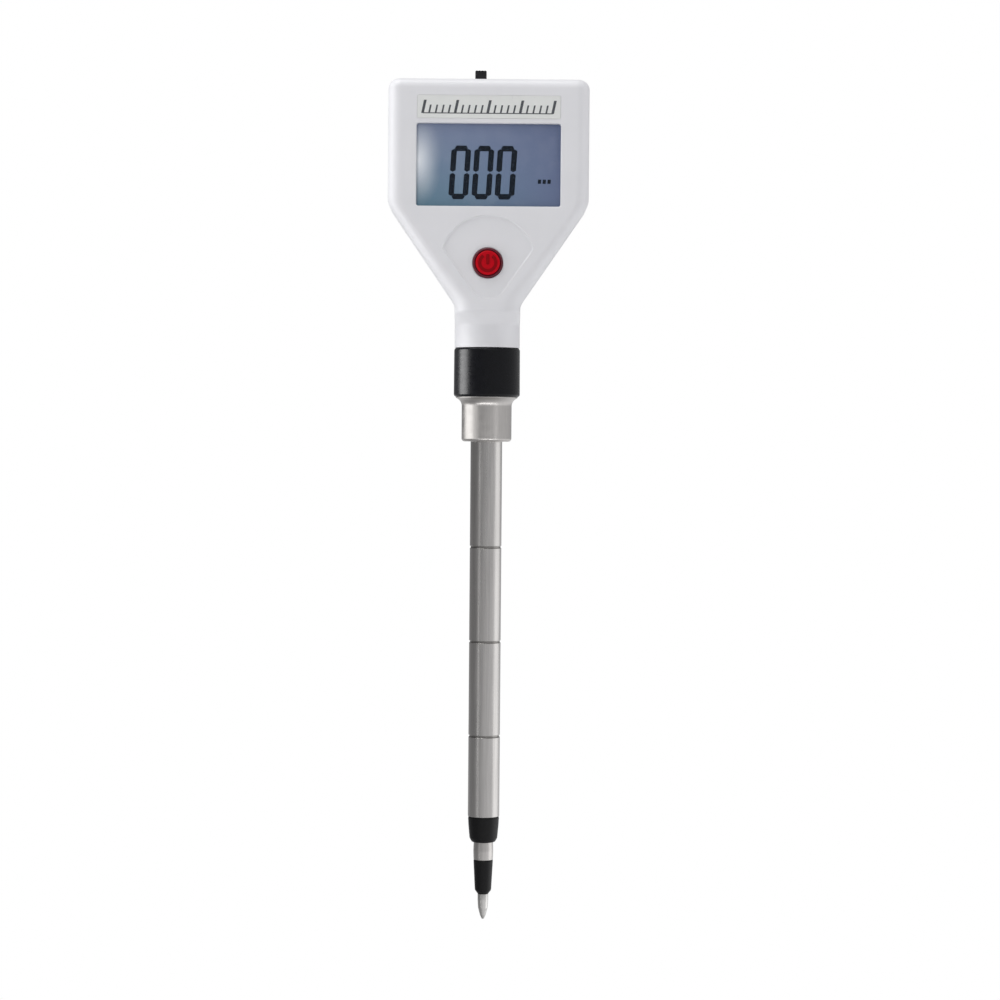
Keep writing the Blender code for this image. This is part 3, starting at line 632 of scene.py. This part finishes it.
def board_green():
    """Solder mask: green, with faint darker tracks under it."""
    made = Finish("solder_mask", (0.02, 0.16, 0.07), 0.38)
    tracks = made.add(
        "ShaderNodeTexBrick",
        {"Vector": made.place, "Scale": 260.0, "Mortar Size": 0.06, "Color1": (0.018, 0.15, 0.065, 1),
         "Color2": (0.024, 0.175, 0.08, 1), "Mortar": (0.03, 0.23, 0.1, 1)},
    )
    made.join(tracks.outputs["Color"], "Base Color")
    return made.polish(900, 0.05).grain(1500, 0.00002, strength=0.4).material


def cell_jacket():
    """A shrunk printed jacket, glossy, a little wavy round the can."""
    made = Finish("cell_wrap", (0.045, 0.11, 0.28), 0.3, Coat_Weight=0.4)
    return made.mottle(60, 0.08).polish(90, 0.05).grain(90, 0.00001, (3, 1, 1), 0.1).material


# ---- the head


def ease(low, high, value):
    """0 below low, 1 above high and a smooth S between them."""
    share = min(max((value - low) / (high - low), 0.0), 1.0)
    return share * share * (3 - 2 * share)


def soft_ramp(distance, blend):
    """0 before the bend, the distance after it, joined by a parabola."""
    if distance <= -blend:
        return 0.0
    if distance >= blend:
        return distance
    return (distance + blend) ** 2 / (4 * blend)


def head_section(z, inset):
    """Half width, half depth and corner radius of the head at a height, inset by a distance."""
    spread = soft_ramp(z - FUNNEL_START, FUNNEL_BLEND) - soft_ramp(z - FUNNEL_END, FUNNEL_BLEND)
    swell = ease(*NECK_SWELL, z)
    width = NECK_RADIUS + FUNNEL_SLOPE * spread
    depth = NECK_RADIUS + (HEAD_HALF_DEPTH - NECK_RADIUS) * swell
    edge = NECK_RADIUS + (NECK_EDGE_RADIUS - NECK_RADIUS) * swell
    edge += (HEAD_EDGE_RADIUS - NECK_EDGE_RADIUS) * ease(NECK_SWELL[1], EDGE_TAPER_TOP, z)
    fillet = HEAD_TOP_FILLET - inset
    into_fillet = max(z - (HEAD_TOP - inset - fillet), 0.0)
    inset += fillet - math.sqrt(max(fillet * fillet - into_fillet * into_fillet, 0.0))
    return width - inset, depth - inset, max(edge - inset, 0.0003)


def head_heights(bottom, inset):
    """The heights of the head's cross-sections, closer together where its shape bends."""
    heights = [bottom]
    for step in range(13):
        heights.append(NECK_SWELL[0] + (NECK_SWELL[1] - NECK_SWELL[0]) * step / 12)
    for bend in (FUNNEL_START, FUNNEL_END):
        heights += [bend + FUNNEL_BLEND * step / 4 for step in range(-4, 5)]
    for step in range(1, 8):
        heights.append(NECK_SWELL[1] + (EDGE_TAPER_TOP - NECK_SWELL[1]) * step / 7)
    fillet = HEAD_TOP_FILLET - inset
    for step in range(CORNER_STEPS + 1):
        angle = math.pi / 2 * step / CORNER_STEPS
        heights.append(HEAD_TOP - inset - fillet * (1 - math.sin(angle)))
    kept = []
    for z in sorted(heights):
        if z >= bottom and (not kept or z - kept[-1] > 1e-5):
            kept.append(z)
    return kept


def head_solid(name, inset, bottom):
    """The head's outer form, or the same form inset, as one closed loft."""
    bm = bmesh.new()
    rings = []
    for z in head_heights(bottom, inset):
        width, depth, edge = head_section(z, inset)
        section = rectangle((width, depth), 0, edge, CORNER_STEPS)
        rings.append([bm.verts.new((x, y, z)) for x, y in section])
    skin(bm, rings)
    bm.faces.new(rings[0][::-1])
    bm.faces.new(rings[-1])
    return object_from(bm, name)


def half_space(side):
    """A block over the half of the head on one side of the seam: -1 is the front, 1 the rear."""
    reach, under, over = 0.05, 0.16, 0.28
    low, high = sorted((side * SEAM, side * reach))
    return block("half", (-reach, low, under), (reach, high, over))


def round_seam(obj, side):
    """Rounds the rim of a half along the seam, so that the two rims leave a fine groove."""
    bm = bmesh.new()
    bm.from_mesh(obj.data)
    rim = [
        edge
        for edge in bm.edges
        if all(abs(vert.co.y - side * SEAM) < 1e-6 for vert in edge.verts)
        and any(abs(face.normal.y) < 0.9 for face in edge.link_faces)
    ]
    bmesh.ops.bevel(bm, geom=rim, offset=SEAM_ROUNDING, segments=3, affect="EDGES", profile=0.5)
    bm.to_mesh(obj.data)
    bm.free()


def head_half(name, side):
    """Half of the head: its outer form with a rounded rim, the spigot, the hollow and the bore."""
    shell = head_solid(name, 0.0, SLEEVE_HIGH.z + SEAM)
    carve(shell, "INTERSECT", half_space(side))
    round_seam(shell, side)
    top = SLEEVE_HIGH.z + 0.001
    outline = [(0, SPIGOT_BOTTOM), (SPIGOT_RADIUS, SPIGOT_BOTTOM), (SPIGOT_RADIUS, top), (0, top)]
    spigot = lathe("spigot", outline, 48)
    carve(spigot, "INTERSECT", half_space(side))
    carve(shell, "UNION", spigot)
    low, high = BORE_HEIGHTS
    bore = lathe("bore", [(0, low), (SPIGOT_BORE, low), (SPIGOT_BORE, high), (0, high)], 48)
    carve(shell, "DIFFERENCE", head_solid("cavity", WALL, CAVITY_BOTTOM), bore)
    return shell


def slot_cutter():
    """The slot in the head's top that the knob slides in."""
    low = (-SLOT_HALF[0], -SLOT_HALF[1], HEAD_TOP - 0.004)
    high = (SLOT_HALF[0], SLOT_HALF[1], HEAD_TOP + 0.001)
    return block("slot", low, high)


def front_shell(finish):
    """The head's front half, with its window, label bed, shield recess and button hole."""
    shell = head_half("front_shell_moulding", -1)
    face = -HEAD_HALF_DEPTH
    inner = face + WALL + CUT_MARGIN
    window = rectangle(WINDOW_HALF, WINDOW_CENTRE_Z, 0.0007)
    bed = rectangle([half + 0.00004 for half in LABEL_HALF], LABEL_CENTRE_Z, 0.0004)
    hole = circle((0, BUTTON_Z), BUTTON_HOLE)
    carve(
        shell, "DIFFERENCE",
        flared_cutter("window", window, face, inner, 0.0003),
        flared_cutter("bed", bed, face, face + LABEL_RECESS, 0.00008),
        flared_cutter("shield", shield_outline(), face, face + SHIELD_DEPTH, 0.00025, draft=0.0006),
        slot_cutter(),
    )
    carve(shell, "DIFFERENCE", flared_cutter("hole", hole, face + SHIELD_DEPTH, inner, 0.00025))
    return piece(shell, finish, "white_plastic", "front_shell")


def rear_shell(finish):
    """The head's rear half, with the battery opening and the counterbored screw bosses."""
    shell = head_half("rear_shell_moulding", 1)
    face = HEAD_HALF_DEPTH
    boss_radius, sink_radius, overlap = 0.0033, 0.0026, 0.0003
    bosses, sinks = [], []
    for x, z in SCREW_PLACES:
        boss = circle((x, z), boss_radius, 40)
        bosses.append(slab("boss", boss, overlap, face - WALL + overlap))
        sink = circle((x, z), sink_radius, 40)
        sinks.append(flared_cutter("sink", sink, face, SCREW_SEAT, 0.0003, 1))
    carve(shell, "UNION", *bosses)
    half = (DOOR_HIGH.x + 0.0002, (DOOR_HIGH.z - DOOR_BOTTOM) / 2 + 0.0002)
    opening = rectangle(half, (DOOR_HIGH.z + DOOR_BOTTOM) / 2, 0.0007)
    door = flared_cutter("door", opening, face, DOOR_SEAT, 0.0002, 1)
    carve(shell, "DIFFERENCE", *sinks, door, slot_cutter())
    return piece(shell, finish, "white_plastic", "rear_shell")


def battery_door(finish):
    """The lid of the battery bay, with a finger dish, grip ridges and its two tabs."""
    half = (DOOR_HIGH.x, (DOOR_HIGH.z - DOOR_BOTTOM) / 2)
    centre = (DOOR_HIGH.z + DOOR_BOTTOM) / 2
    face = HEAD_HALF_DEPTH
    door = slab("battery_door_lid", rectangle(half, centre, 0.0006), DOOR_INNER, face, 0.0003, 1)
    tabs, feet = [], []
    for x in (-TAB_X, TAB_X):
        left, right = x - TAB_HALF, x + TAB_HALF
        tab_low = (left, DOOR_LOW.y, DOOR_LOW.z)
        tab_high = (right, DOOR_INNER - 0.0005, DOOR_BOTTOM + 0.003)
        foot_low = (left, DOOR_INNER - 0.001, DOOR_BOTTOM + 0.001)
        foot_high = (right, DOOR_INNER + 0.0006, DOOR_BOTTOM + 0.0027)
        tabs.append(block("tab", tab_low, tab_high))
        feet.append(block("foot", foot_low, foot_high))
    carve(door, "UNION", *feet)
    carve(door, "UNION", *tabs)
    grip_half, dish_height, ridge_height, ridge_pitch = 0.006, 0.0205, 0.0095, 0.0018
    dish = circle((0, DOOR_BOTTOM + dish_height), grip_half)
    floor_y = face - 0.0005
    cutters = [flared_cutter("dish", dish, face, floor_y, 0.0003, 1)]
    for index in range(4):
        z = DOOR_BOTTOM + ridge_height - ridge_pitch * index
        ridge = rectangle((grip_half, 0.00035), z, 0.0003)
        cutters.append(flared_cutter("ridge", ridge, face, floor_y, 0.0002, 1))
    carve(door, "DIFFERENCE", *cutters)
    return piece(door, finish, "white_plastic", "battery_door", body="battery_door")


def label(film, ink):
    """The film above the display, with a generic graduated scale in place of any lettering."""
    outline = rectangle(LABEL_HALF, LABEL_CENTRE_Z, 0.0003)
    strip = slab("label_film", outline, LABEL_LOW.y, LABEL_HIGH.y, 0.00004)
    piece(strip, film, "label_film", "label_strip")
    ticks = []
    count, pitch, lean = 21, 0.00202, 0.21
    rise = 0.00205
    base = LABEL_CENTRE_Z - rise
    for index in range(count):
        x = (index - (count - 1) / 2) * pitch
        major = index % 5 == 0
        height = 0.0041 if major else 0.0026
        width = 0.00042 if major else 0.00027
        foot = x - lean * rise
        head = foot + lean * height
        top = base + height
        corners = [(foot - width, base), (foot + width, base), (head + width, top), (head - width, top)]
        ticks.append(slab("tick", corners, LABEL_LOW.y - 0.00001, LABEL_LOW.y + 0.0001))
    left, right, under, over = -0.0206, 0.0198, base - 0.0001, base + 0.0002
    line = [(left, under), (right, under), (right, over), (left, over)]
    ticks.append(slab("line", line, LABEL_LOW.y - 0.000012, LABEL_LOW.y + 0.0001))
    return piece(joined("label_scale", ticks), ink, "black_plastic")


# ---- the display


def window(finish):
    """The clear lens: its face fills the opening and its flange is held behind the wall."""
    face, lens_back, flange_front = LENS_LOW.y, -0.0112, -0.0117
    lens = rectangle([half - 0.0001 for half in WINDOW_HALF], WINDOW_CENTRE_Z, 0.0006)
    flange = rectangle((LENS_HIGH.x, LENS_HIGH.z - WINDOW_CENTRE_Z), WINDOW_CENTRE_Z, 0.001)
    front = slab("window_lens", lens, face, lens_back, 0.0002)
    carve(front, "UNION", slab("flange", flange, flange_front, LENS_HIGH.y))
    return piece(front, finish, "clear_plastic", "display_window")


def segment(start, end, half_width, gap):
    """A hexagonal display segment between two points, shortened by a gap at each end."""
    start, end = Vector(start), Vector(end)
    along = (end - start).normalized()
    across = Vector((-along.y, along.x)) * half_width
    tip = along * gap
    shoulder = along * (gap + half_width * 0.6)
    return [
        start + tip, start + shoulder - across, end - shoulder - across,
        end - tip, end - shoulder + across, start + shoulder + across,
    ]


def digits(finish):
    """Three zeros in slanted segments and a small plain mark, just in front of the cell."""
    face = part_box("lcd_cell")[0].y
    height, width, pitch, half_width = 0.0167, 0.00615, 0.00722, 0.00086
    base, lean = 0.2275, math.tan(math.radians(3.5))
    first_x, gap = -0.01255, 0.00016
    low, middle, high = half_width, height / 2, height - half_width
    left, right = half_width, width - half_width
    strokes = [
        ((left, high), (right, high)), ((left, low), (right, low)),
        ((left, middle), (left, high)), ((right, middle), (right, high)),
        ((left, low), (left, middle)), ((right, low), (right, middle)),
    ]
    shapes = []
    for digit in range(3):
        start_x = first_x + digit * pitch
        for first, last in strokes:
            corners = segment(first, last, half_width, gap)
            shapes.append([(start_x + x + lean * z, base + z) for x, z in corners])
    mark_x, mark_pitch, mark_width, mark_lean = 0.0154, 0.0015, 0.001, 0.0001
    mark_low, mark_high = 0.2325, 0.2338
    for index in range(3):
        x = mark_x + mark_pitch * index
        foot = [(x, mark_low), (x + mark_width, mark_low)]
        head = [(x + mark_width + mark_lean, mark_high), (x + mark_lean, mark_high)]
        shapes.append(foot + head)
    plates = [slab("stroke", shape, face - 0.00004, face) for shape in shapes]
    return piece(joined("lcd_digits", plates), finish, "display_glass")


# ---- controls


def button(cap_finish, symbol_finish, seal_and_gap_shade_finish):
    """The dished red cap with a plain power symbol, in its rubber ring."""
    rim = 0.0034
    dish = [(rim * step / 8, 0.00022 * (1 - (step / 8) ** 2)) for step in range(9)]
    edge = arc((rim, 0.0004), 0.0004, -math.pi / 2, 0, EDGE_STEPS)[1:]
    back = CAP_HIGH.y - CAP_LOW.y
    flange = (CAP_HIGH.x - CAP_LOW.x) / 2
    tail = [(BUTTON_RADIUS, 0.0041), (flange, 0.0041), (flange, back), (0, back)]
    cap = lathe("power_button_cap", dish + edge + tail, 64, facing_front(0, BUTTON_FRONT, BUTTON_Z))
    piece(cap, cap_finish, "red_plastic", "button_cap", body="power_button")
    thick, radius = 0.0005, 0.0025
    opening = math.radians(34)
    start, end = math.pi / 2 + opening, math.tau + math.pi / 2 - opening
    outer = arc((0, BUTTON_Z), radius + thick, start, end, 40)
    inner = arc((0, BUTTON_Z), radius - thick, end, start, 40)
    bar = rectangle((thick, 0.00165), BUTTON_Z + 0.00105, thick * 0.9)
    front = BUTTON_FRONT + 0.00004
    ring = slab("ring", outer + inner, front, front + 0.0004)
    stem = slab("stem", bar, front, front + 0.0004)
    symbol = joined("power_symbol", [ring, stem])
    piece(symbol, symbol_finish, "maroon_rubber", body="power_button")
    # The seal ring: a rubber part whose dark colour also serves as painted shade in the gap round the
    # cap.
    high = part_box("button_seal")[1]
    depth = high.y - BUTTON_FRONT
    hole = BUTTON_HOLE - 0.0001
    gap = BUTTON_RADIUS + 0.00012
    bead = arc(((hole + gap) / 2, 0.0009), (hole - gap) / 2, math.pi, math.tau, 10)
    outline = bead + [(hole, 0.0033), (high.x, 0.0033), (high.x, depth), (gap, depth)]
    seal = lathe("button_seal_ring", outline, 72, facing_front(0, BUTTON_FRONT, BUTTON_Z))
    piece(seal, seal_and_gap_shade_finish, "maroon_rubber", "button_seal")


def range_knob(finish):
    """The knob in the head's top: a rounded block whose top has three finger ridges."""
    half = (KNOB_HIGH.x - KNOB_LOW.x) / 2
    centre = (KNOB_HIGH.x + KNOB_LOW.x) / 2
    top, notch, notch_half = KNOB_HIGH.z, 0.00035, 0.00022
    corners = [(centre - half, KNOB_LOW.z, 0.0002), (centre + half, KNOB_LOW.z, 0.0002)]
    corners.append((centre + half, top, 0.0004))
    for index in (1, 0, -1):
        middle = centre + index * half * 0.5
        corners.append((middle + notch_half, top, 0.00008))
        corners.append((middle, top - notch, 0.0001))
        corners.append((middle - notch_half, top, 0.00008))
    corners.append((centre - half, top, 0.0004))
    outline = rounded(corners)
    layers = round_layers(outline, KNOB_LOW.y, 0.0002, -1, 0.6)
    mirrored = [(points, KNOB_LOW.y + KNOB_HIGH.y - y) for points, y in reversed(layers)]
    knob = stacked("range_knob_cap", layers + mirrored)
    return piece(knob, finish, "black_plastic", "slide_switch_knob", body="range_knob")


def case_screws(finish):
    """Pan heads with a cross recess, in the rear's counterbores."""
    for index, (low, high) in enumerate(SCREW_BOXES, 1):
        x, z = SCREW_PLACES[index - 1]
        radius = high.x - x
        top = high.y - SCREW_SEAT
        crown = [
            (radius * math.sin(angle), top * (0.45 + 0.55 * math.cos(angle)))
            for angle in (math.pi / 2 * step / 8 for step in range(9))
        ]
        shank = low.y - SCREW_SEAT
        thread, tip = 0.0009, 0.0004
        tail = [(radius, 0), (thread, 0), (thread, shank + 0.0012), (tip, shank), (0, shank)]
        place = facing_front(x, SCREW_SEAT, z)
        screw = lathe(f"case_screw_head_{index}", crown + tail, 48, place)
        turn = Matrix.Rotation(math.radians(20 + 37 * index), 4, "Y")
        cutters = []
        for length, width in ((0.0013, 0.0003), (0.0003, 0.0013)):
            cutter = block("cross", (-length, 0, -width), (length, 0.002, width))
            cutter.data.transform(Matrix.Translation((x, SCREW_SEAT + top - 0.0009, z)) @ turn)
            cutters.append(cutter)
        carve(cutters[0], "UNION", cutters[1])
        carve(screw, "DIFFERENCE", cutters[0])
        piece(screw, finish, "nickel", f"case_screw_{index}")


# ---- the probe


def sleeve(finish):
    """The black collar between the neck and the ferrule, its outer edges well rounded."""
    low, high = SLEEVE_LOW, SLEEVE_HIGH
    seat = SPIGOT_RADIUS + 0.0003
    outline = rounded([
        (COLLAR_BORE, low.z, 0), (high.x, low.z, 0.0009), (high.x - 0.00005, high.z, 0.0009),
        (seat, high.z, 0.0001), (seat, COLLAR_STEP, 0), (COLLAR_BORE, COLLAR_STEP, 0),
    ], 6)
    return piece(lathe("coupling_collar", outline), finish, "black_plastic", "coupling_sleeve")


def ferrule(finish):
    """The stainless end fitting: a barrel with a conical shoulder under the sleeve."""
    low, high = FERRULE_LOW, FERRULE_HIGH
    shoulder_top = SLEEVE_LOW.z - 0.00005
    rim = shoulder_top - 0.0002
    bore = TUBE_HIGH.x + 0.0001
    foot = (BARREL_RADIUS, SHOULDER_FOOT)
    shoulder = eased((BARREL_RADIUS, low.z), foot, (high.x, rim), 0.0016, 10)
    outline = rounded([
        (bore, low.z, 0.0002), (BARREL_RADIUS, low.z, 0.001),
        *((radius, height, 0) for radius, height in shoulder), (high.x, rim, 0),
        (high.x, shoulder_top, 0), (SOCKET_RADIUS, shoulder_top, 0),
        (SOCKET_RADIUS, high.z, 0), (bore, high.z, 0),
    ], 5)
    return piece(lathe("ferrule_barrel", outline), finish, "stainless", "ferrule")


def probe_tube(finish):
    """The long tube, with three engraved depth rings."""
    radius, half, edge = TUBE_HIGH.x, GROOVE_HALF, 0.00008
    floor_radius, floor_half = radius - GROOVE_DEPTH, half * 0.6
    corners = [(TUBE_BORE, TUBE_LOW.z, 0.0001), (radius, TUBE_LOW.z, 0.0002)]
    for z in DEPTH_RINGS:
        corners += [(radius, z - half, edge), (floor_radius, z - floor_half, edge)]
        corners += [(floor_radius, z + floor_half, edge), (radius, z + half, edge)]
    corners += [(radius, TUBE_HIGH.z, 0), (TUBE_BORE, TUBE_HIGH.z, 0)]
    return piece(lathe("probe_tube_drawn", rounded(corners, 3)), finish, "stainless", "probe_tube")


def probe_end(plastic, steel, tip_steel):
    """The probe's end, from the tube down: insulator, ring electrode, insulator and point."""
    upper_low, upper_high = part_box("upper_insulator")
    ring_low, ring_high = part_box("ring_electrode")
    lower_low, lower_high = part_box("lower_insulator")
    tip_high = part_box("tip_electrode")[1]
    tube_end = TUBE_LOW.z
    bore, plug = PLUG_RADII
    low, end, widest = upper_low.z, tube_end - JOINT_GAP, upper_high.x
    upper = rounded([
        (bore, low, 0), (0.0037, low, 0.0004), (0.0044, low + 0.0012, 0.0012),
        (0.00476, low + 0.005, 0.002), (widest, tube_end - 0.0007, 0.0004),
        (widest - 0.0001, end, 0.0001), (plug, end, 0),
        (plug, upper_high.z, 0), (bore, upper_high.z, 0),
    ], 6)
    piece(lathe("upper_insulator_turned", upper), plastic, "black_plastic", "upper_insulator")
    bore, stem = RING_STEM_RADII
    low, end, widest = ring_low.z, upper_low.z - JOINT_GAP, ring_high.x
    ring = rounded([
        (bore, low, 0), (widest - 0.0001, low, 0.0001),
        (widest, (low + upper_low.z) / 2, 0.004), (widest - 0.0001, end, 0.0001),
        (stem, end, 0), (stem, ring_high.z, 0), (bore, ring_high.z, 0),
    ], 6)
    piece(lathe("ring_electrode_turned", ring), steel, "stainless", "ring_electrode")
    bore, core = CORE_RADII
    low, end, widest = lower_low.z, ring_low.z - JOINT_GAP, lower_high.x
    lower = rounded([
        (bore, low, 0), (0.0017, low, 0.0002), (0.0026, low + 0.0012, 0.0012),
        (widest, ring_low.z - 0.0004, 0.0003), (widest - 0.0001, end, 0),
        (core, end, 0), (core, lower_high.z, 0), (bore, lower_high.z, 0),
    ], 6)
    piece(lathe("lower_insulator_turned", lower), plastic, "black_plastic", "lower_insulator")
    end, shank = lower_low.z - JOINT_GAP, tip_high.x
    tip = rounded([
        (0, 0, 0), (0.00035, 0.0001, 0.0001), (0.0009, 0.00125, 0.001), (0.00152, 0.0036, 0.0015),
        (shank, 0.0062, 0.003), (shank, end, 0.0001), (STEM_RADIUS, end, 0),
        (STEM_RADIUS, tip_high.z, 0), (0, tip_high.z, 0),
    ], 6)
    piece(lathe("tip_electrode_turned", tip, 64), tip_steel, "stainless", "tip_electrode")


# ---- inside the head


def battery_cells(can_finish, wrap_finish):
    """Each cell as a steel can in its printed jacket."""
    for index, side in ((1, 1), (2, -1)):
        low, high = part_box(f"battery_cell_{index}")
        centre = (low + high) / 2
        length, radius = high.x - low.x, (high.z - low.z) / 2
        place = Matrix.Translation((centre.x - side * length / 2, centre.y, centre.z))
        place @= Matrix.Rotation(side * math.pi / 2, 4, "Y")
        steel, step, button_radius = radius - 0.0002, length - 0.0008, 0.0021
        can = rounded([
            (0, 0, 0), (steel, 0, 0.0005), (steel, step, 0.0006), (button_radius, step, 0.0001),
            (button_radius - 0.0002, length, 0.0003), (0, length, 0),
        ], 5)
        can = lathe(f"cell_can_{index}", can, 64, place)
        piece(can, can_finish, "nickel", f"battery_cell_{index}")
        foot, within, lip = radius - 0.0012, radius - 0.0004, radius - 0.0014
        wrap = rounded([
            (foot, 0.0003, 0.0001), (radius, 0.0003, 0.0004), (radius, length - 0.0011, 0.0004),
            (lip, length - 0.0007, 0.0001), (lip, length - 0.0012, 0),
            (within, length - 0.0016, 0), (within, 0.0009, 0), (foot, 0.0008, 0),
        ], 4)
        piece(lathe(f"cell_wrap_{index}", wrap, 64, place), wrap_finish, "cell_jacket")


def inside(metal, plastic):
    """Better finishes for the CAD nodes that stay as they are."""
    grey = plain("grey_abs", (0.25, 0.26, 0.28), 0.5)
    chip = plain("chip_epoxy", (0.02, 0.02, 0.021), 0.5, 1500, 0.2)
    red = plain("red_insulation", (0.55, 0.02, 0.02), 0.45)
    pale = plain("white_insulation", (0.65, 0.65, 0.6), 0.45)
    dark = plain("black_insulation", (0.02, 0.02, 0.02), 0.45)
    guide = plain("light_guide", (0.75, 0.8, 0.85), 0.35, 200, 0.04)
    silicone = plain("contact_silicone", (0.32, 0.1, 0.12), 0.6, 1500, 0.2)
    screws = ("board_screw_1", "board_screw_2")
    contacts = ("battery_bridge", "battery_bridge_spring", "battery_minus_spring", "battery_plus_plate")
    groups = (
        (display_glass(), "lcd_cell"),
        (grey, "lcd_frame", "tact_switch_body"),
        (guide, "lcd_light_panel"),
        (silicone, "lcd_contact_strip"),
        (plastic, "tact_switch_plunger", "battery_tray"),
        (metal, "slide_switch_body", *screws, *contacts),
        (board_green(), "main_board"),
        (chip, "controller_chip", "amplifier_chip"),
        (rubber(), "neck_gasket"),
        (red, "tip_lead", "battery_plus_lead"),
        (pale, "ring_lead"),
        (dark, "tube_lead", "battery_minus_lead"),
    )
    for finish, *nodes in groups:
        for node in nodes:
            mesh = frame["nodes"][node].data
            mesh.materials.clear()
            mesh.materials.append(finish)


# ---- the studio


def camera():
    """A long lens level with the neck, tilted a little down."""
    data = bpy.data.cameras.new("camera")
    data.sensor_width = 36.0
    data.lens = 93.5
    data.clip_start = 0.01
    data.clip_end = 50.0
    obj = linked("camera", data)
    pitch, yaw, roll = math.radians(1.37), math.radians(0.31), math.radians(0.45)
    turned = Matrix.Rotation(-yaw, 4, "Z") @ Matrix.Rotation(math.pi / 2 - pitch, 4, "X")
    place = Matrix.Translation((0, -0.8234, 0.1531))
    obj.matrix_world = place @ turned @ Matrix.Rotation(roll, 4, "Z")
    bpy.context.scene.camera = obj


def floor():
    """A plain pale floor, well under the point."""
    bm = bmesh.new()
    level = Matrix.Translation((0, 0, -0.16))
    bmesh.ops.create_grid(bm, x_segments=4, y_segments=4, size=0.55, matrix=level)
    obj = object_from(bm, "floor")
    made = Finish("pale_floor", (0.9, 0.9, 0.9), 0.8)
    made.mottle(3, 0.01)
    obj.data.materials.append(made.material)
    obj.visible_glossy = False
    obj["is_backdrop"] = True


def softbox(name, place, aim, size, radiance, only=()):
    """A rectangular light aimed at a point, its face that bright. It may light only some pieces."""
    data = bpy.data.lights.new(name, "AREA")
    data.shape = "RECTANGLE"
    data.size, data.size_y = size
    data.energy = radiance * math.pi * size[0] * size[1]
    obj = linked(name, data)
    obj.location = place
    obj.rotation_euler = (Vector(aim) - Vector(place)).to_track_quat("-Z", "Y").to_euler()
    obj.visible_camera = False
    if only:
        group = bpy.data.collections.new(f"{name}_lights")
        for lit in only:
            group.objects.link(bpy.data.objects[lit])
        obj.light_linking.receiver_collection = group


def sun(name, direction, strength, angle):
    """A distant light that shines along a direction."""
    data = bpy.data.lights.new(name, "SUN")
    data.energy = strength
    data.angle = math.radians(angle)
    obj = linked(name, data)
    obj.rotation_euler = Vector(direction).to_track_quat("-Z", "Y").to_euler()


def sky():
    """White behind the object; as its light a soft grey, darker at the left, brighter low down."""
    world = bpy.data.worlds.new("studio")
    world.use_nodes = True
    world.node_tree.nodes.clear()
    made = Nodes(world.node_tree)
    place = made.add("ShaderNodeTexCoord").outputs["Generated"]
    across, _, up = made.add("ShaderNodeSeparateXYZ", {0: place}).outputs
    level = made.spread(across, -1.0, 1.0, 0.17, 0.5)
    below = made.spread(up, -0.03, -0.2, 0.0, 0.4)
    rightward = made.spread(across, -0.9, -0.2, 0.25, 1.0)
    deep = made.spread(up, -0.5, -0.95, 0.0, -0.3)
    low = made.combined(below, rightward, "MULTIPLY")
    strength = made.combined(made.combined(level, low), deep)
    tint = {"Color": (0.985, 0.985, 1.0, 1), "Strength": strength}
    grey = made.add("ShaderNodeBackground", tint).outputs[0]
    white = made.add("ShaderNodeBackground", {"Color": (1, 1, 1, 1)}).outputs[0]
    seen = made.add("ShaderNodeLightPath").outputs["Is Camera Ray"]
    mix = made.add("ShaderNodeMixShader", {0: seen, 1: grey, 2: white}).outputs[0]
    made.add("ShaderNodeOutputWorld", {"Surface": mix})
    bpy.context.scene.world = world


def lights():
    """Soft light from the left and above, and boxes that shape each finish as a studio card would."""
    shown = [piece.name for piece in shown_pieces()]
    pale = [name for name in shown if name not in METAL + BLACKS]
    sun("overhead", (0.3, 0.1, -0.95), 1.9, 40)
    softbox("left_box", (-1.0, -0.1, 0.1), (0, 0, 0.2), (0.8, 1.6), 2.4, pale)
    softbox("low_box", (-0.35, -0.9, -0.75), (0, 0, 0.2), (0.9, 0.6), 2.9, pale)
    softbox("front_box", (0.1, -1.3, 1.1), (0, 0, 0.15), (1.2, 0.8), 1.02)
    softbox("right_box", (0.9, -0.2, 0.4), (0, 0, 0.2), (0.5, 0.8), 0.9, pale)
    softbox("collar_card", (-0.8, 0.0, 0.2), (0, 0, 0.175), (0.5, 0.5), 10.0, ("coupling_collar",))
    softbox("ferrule_card", (-0.8, -0.1, 0.2), (0, 0, 0.16), (1.5, 0.5), 0.55, ("ferrule_barrel",))
    softbox("ferrule_core", (-0.8, -0.02, 0.2), (0, 0, 0.16), (0.7, 0.5), 0.95, ("ferrule_barrel",))
    softbox("ferrule_glint", (0.75, -0.74, 0.2), (0, 0, 0.16), (0.12, 0.5), 0.7, ("ferrule_barrel",))
    softbox("shoulder_card", (0, -0.8, -0.35), (0, 0, 0.16), (1.8, 0.2), 2.2, ("ferrule_barrel",))
    softbox("probe_card", (0.8, 0.07, 0.0), (0, 0, 0.08), (0.75, 0.7), 0.6, PROBE + INSULATORS)
    softbox("probe_glint", (-0.6, -0.54, 0.0), (0, 0, 0.08), (0.09, 0.7), 0.75, PROBE)


def build():
    bpy.context.scene.view_settings.view_transform = "Standard"
    white, black, metal = white_plastic(), black_plastic(), nickel()
    front_shell(white)
    rear_shell(white)
    battery_door(white)
    label(label_film(), scale_ink())
    window(clear_lens())
    digits(segment_ink())
    button(red_plastic(), crimson_ink(), maroon_rubber())
    range_knob(black)
    case_screws(metal)
    sleeve(black_plastic("collar_satin", (0.0022, 0.0025, 0.0045), 0.3))
    ferrule(turned_steel("ferrule_steel"))
    probe_tube(tube_steel())
    probe_end(
        black_plastic("insulator_satin", (0.004, 0.004, 0.0045), 0.42),
        turned_steel("ring_steel"), turned_steel("tip_steel", (0.68, 0.67, 0.65), 0.3),
    )
    battery_cells(metal, cell_jacket())
    inside(metal, black)
    camera()
    floor()
    sky()
    lights()


build()
